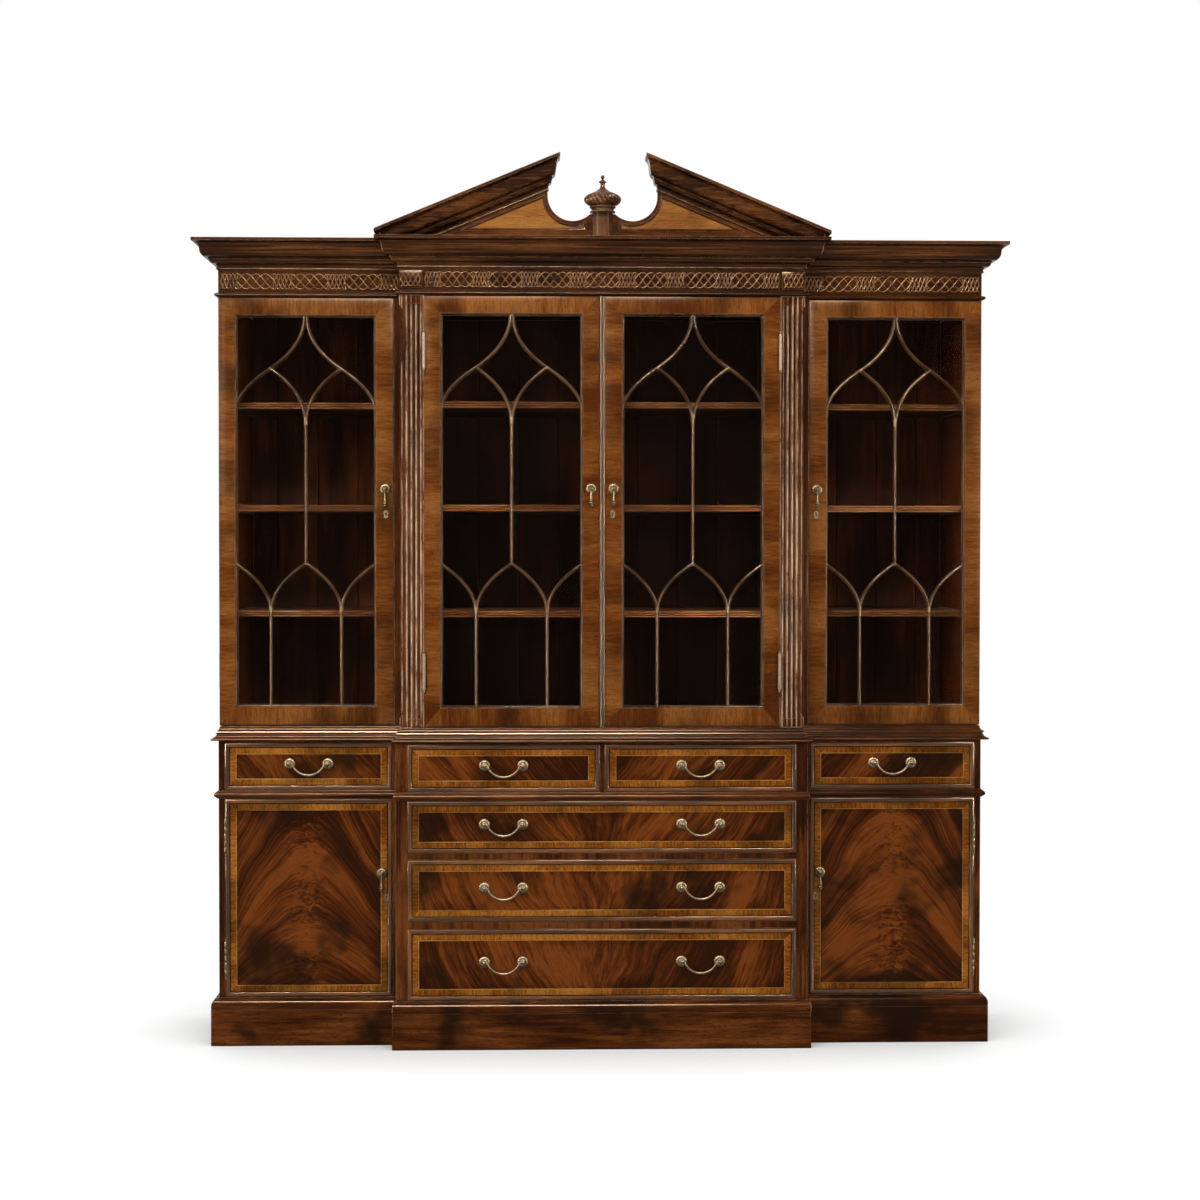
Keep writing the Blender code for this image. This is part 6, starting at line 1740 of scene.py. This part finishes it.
# %% Keyhole plates
LOCK_X, CENTRE_LOCK_X, GLAZED_LOCK_Z, CUPBOARD_LOCK_X, CUPBOARD_LOCK_Z = 0.5904, 0.028, 1.452, 0.590, 0.402
KEY_PLATES = (
    ("left_wing_door", -LOCK_X, WING_Y, GLAZED_LOCK_Z), ("right_wing_door", LOCK_X, WING_Y, GLAZED_LOCK_Z),
    ("right_centre_door", CENTRE_LOCK_X, CENTRE_Y, GLAZED_LOCK_Z),
    ("left_cupboard_door", -CUPBOARD_LOCK_X, BASE_WING_Y, CUPBOARD_LOCK_Z),
    ("right_cupboard_door", CUPBOARD_LOCK_X, BASE_WING_Y, CUPBOARD_LOCK_Z),
)
PLATE_SHAPE = (
    (0, 0.011), (0.0032, 0.0098), (0.0058, 0.0060), (0.0060, 0.0010), (0.0046, -0.0040), (0.0052, -0.0078),
    (0.0030, -0.0102), (0, -0.0112),
)
HOLE_RADIUS, HOLE_RISE, HOLE_FOOT = 0.0026, 0.0025, (0.0018, -0.0060)
PLATE_THICK, SHADOW_THICK, CUT_START, CUT_DEPTH = 0.0013, 0.0004, 0.002, 0.006
right_rim = through(PLATE_SHAPE, 4)
rim = right_rim + [(-across, up) for across, up in right_rim[-2:0:-1]]
hole_angles = [math.radians(degrees) for degrees in range(-150, 151, 20)]
hole = [(HOLE_RADIUS * math.sin(a), HOLE_RISE + HOLE_RADIUS * math.cos(a)) for a in hole_angles]
hole += [HOLE_FOOT, (-HOLE_FOOT[0], HOLE_FOOT[1])]


def upright_slab(shape_points, place, behind, thick):
    """A slab that stands in a front plane, from so far behind it."""
    x, y, z = place
    return slab([(x + across, y + behind, z + up) for across, up in shape_points], (0, -thick, 0))


for door, *place in KEY_PLATES:
    plate = carve(upright_slab(rim, place, GAP, PLATE_THICK), upright_slab(hole, place, CUT_START, CUT_DEPTH))
    paint_all(weld(plate), old_brass)
    shadow = upright_slab(hole, place, SHADOW_THICK / 2, SHADOW_THICK)
    plate = gather([plate, paint_all(shadow, crease_glaze_and_shade)])
    settle(plate, door + "_keyhole_plate", door, "antique_brass")
print("keyhole plates:", len(KEY_PLATES))

# %% [markdown]
# ## Finishing the parts that keep their own shape
#
# Carcasses, shelves, back boards and panes are already right, so they only get their finish. A carcass is
# one solid but has two finishes: polish outside, and within a darker tone that stands for bare old wood and
# for painted shade of the dim inside. A node can tell them apart by place: whatever lies far enough behind
# the front and inside the walls is inside.

# %% Carcasses
PILASTER_X, PILASTER_DEPTH, RIDGE_X, RIDGE_PITCH, RIDGES_LIGHTER = 0.4835, 0.020, 0.5105, 0.013, 0.36
INSIDE_START, INSIDE_END, INSIDE_BARE_AND_SHADE, SIDE_INNER_X, CENTRE_SETBACK = 0.012, 0.030, 0.30, 1.04, 0.06
RIDGED_TONES = CASE_TONES + ((0.50, 0.34, 0.22),)


def on_pilaster(tree):
    """1 on the fluted faces at the front of the centre case."""
    x, y, z = axes(tree)
    outside = calc(tree, "GREATER_THAN", calc(tree, "ABSOLUTE", x), PILASTER_X)
    return times(tree, outside, calc(tree, "LESS_THAN", y, CENTRE_Y + PILASTER_DEPTH))


def pilaster_wear(tree):
    """How far edges are rubbed, most of all on the pilasters."""
    return sloped(tree, on_pilaster(tree), 1.2, 0.50)


def rubbed_ridges(tree):
    """1 on the ridges between the flutes, where the polish has gone in long patches."""
    from_ridge = minus(tree, calc(tree, "ABSOLUTE", axes(tree)[0]), RIDGE_X)
    ridge = span(tree, calc(tree, "COSINE", times(tree, from_ridge, math.tau / RIDGE_PITCH)), -0.1, -0.9)
    worn_off = span(tree, cloud(tree, (110, 110, 14), detail=4.0, roughness=0.7), 0.34, 0.62)
    return times(tree, ridge, worn_off, on_pilaster(tree))


def case_wood(name, front_y, wall_x, wear=0.55):
    """A polished wood that turns darker behind the front, inside the walls: bare wood, with painted shade as well."""

    def bare_and_shaded_inside(tree, mixed):
        x, y, z = axes(tree)
        # Behind the front and within the walls the tone drops: bare wood, and painted shade of the inside.
        deep = span(tree, y, front_y + INSIDE_START, front_y + INSIDE_END)
        within = calc(tree, "LESS_THAN", calc(tree, "ABSOLUTE", x), wall_x)
        shown = minus(tree, mixed, times(tree, deep, within, INSIDE_BARE_AND_SHADE))
        return plus(tree, times(tree, rubbed_ridges(tree), RIDGES_LIGHTER), shown)

    return wood(name, RIDGED_TONES, grain("upright"), (0.60, 0.42, 0.29), extra=bare_and_shaded_inside, wear=wear,
                relief=0.0001)


print("case tones:", len(RIDGED_TONES))

# %% Shelves
SHELF_TONES = ((0.007, 0.0014, 0.0002), (0.021, 0.0054, 0.0009), (0.110, 0.042, 0.0140))
SHELF_REEDS, REED_DEPTH, CREST_LIGHTER, SHELF_DARKER, UNDERSIDE_PAINTED_SHADE, DOWNWARDS = 3, 0.004, 0.10, 0.035, 0.09, -0.7


def shelf_wood(name, low, high):
    """Dark wood, rubbed along the crests of the reeded front edge, and darker underneath by painted shade."""

    def reeded(tree, mixed):
        x, y, z = axes(tree)
        facing = parts(tree, tree.nodes.new("ShaderNodeNewGeometry").outputs["Normal"])[2]
        turn_of_reed = times(tree, minus(tree, z, low.z), math.tau * SHELF_REEDS / (high.z - low.z))
        crest = span(tree, calc(tree, "COSINE", turn_of_reed), -0.70, -1.0)
        crest = times(tree, crest, calc(tree, "LESS_THAN", y, low.y + REED_DEPTH))
        # Faces that look down get darker: painted shade on the shelf's underside.
        shaded_underside = calc(tree, "LESS_THAN", facing, DOWNWARDS)
        mixed = sloped(tree, crest, CREST_LIGHTER, minus(tree, mixed, SHELF_DARKER))
        return sloped(tree, shaded_underside, -UNDERSIDE_PAINTED_SHADE, mixed)

    return wood(name, SHELF_TONES, grain("level"), (0.26, 0.095, 0.036), roughness=0.45, wear=0.6, gloss=0.01,
                extra=reeded)


print("shelf reeds:", SHELF_REEDS)

# %% Handing out the finishes
INSIDE_TONES_WITH_SHADE = ((0.003, 0.0006, 0.0002), (0.010, 0.0022, 0.0005), (0.030, 0.0075, 0.0018))
base_wood = wood("base_case_wood", CASE_TONES, grain("upright"), RUBBED_CASE, spread=1.4, wear=0.8, relief=0.0002)
# The back boards are dark wood with the interior's shade painted in, and darker again behind the centre doors by
# painted shade.
shaded_back_wood = wood("back_board_wood", INSIDE_TONES_WITH_SHADE, grain("upright"), (0.03, 0.009, 0.003), roughness=0.6, wear=0.2,
                 gloss=0.01, extra=by_bay(-0.10, 0))
FINISHES = {
    "upper_left_carcass": case_wood("left_case_wood", WING_Y, SIDE_INNER_X),
    "upper_right_carcass": case_wood("right_case_wood", WING_Y, SIDE_INNER_X),
    "upper_centre_carcass": case_wood("centre_case_wood", CENTRE_Y + CENTRE_SETBACK, 0.6, pilaster_wear),
    "base_left_carcass": base_wood,
    "base_right_carcass": base_wood,
    "base_centre_carcass": base_wood,
    "upper_back_panel": shaded_back_wood,
    "base_back_panel": shaded_back_wood,
}
for name in frame["nodes"]:
    if name.endswith("_shelf"):
        FINISHES[name] = shelf_wood(name + "_wood", *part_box(name))
    elif name.endswith("_pane"):
        FINISHES[name] = window_glass
for name, finish in FINISHES.items():
    paint_all(frame["nodes"][name], finish)
print("kept nodes finished:", len(FINISHES))
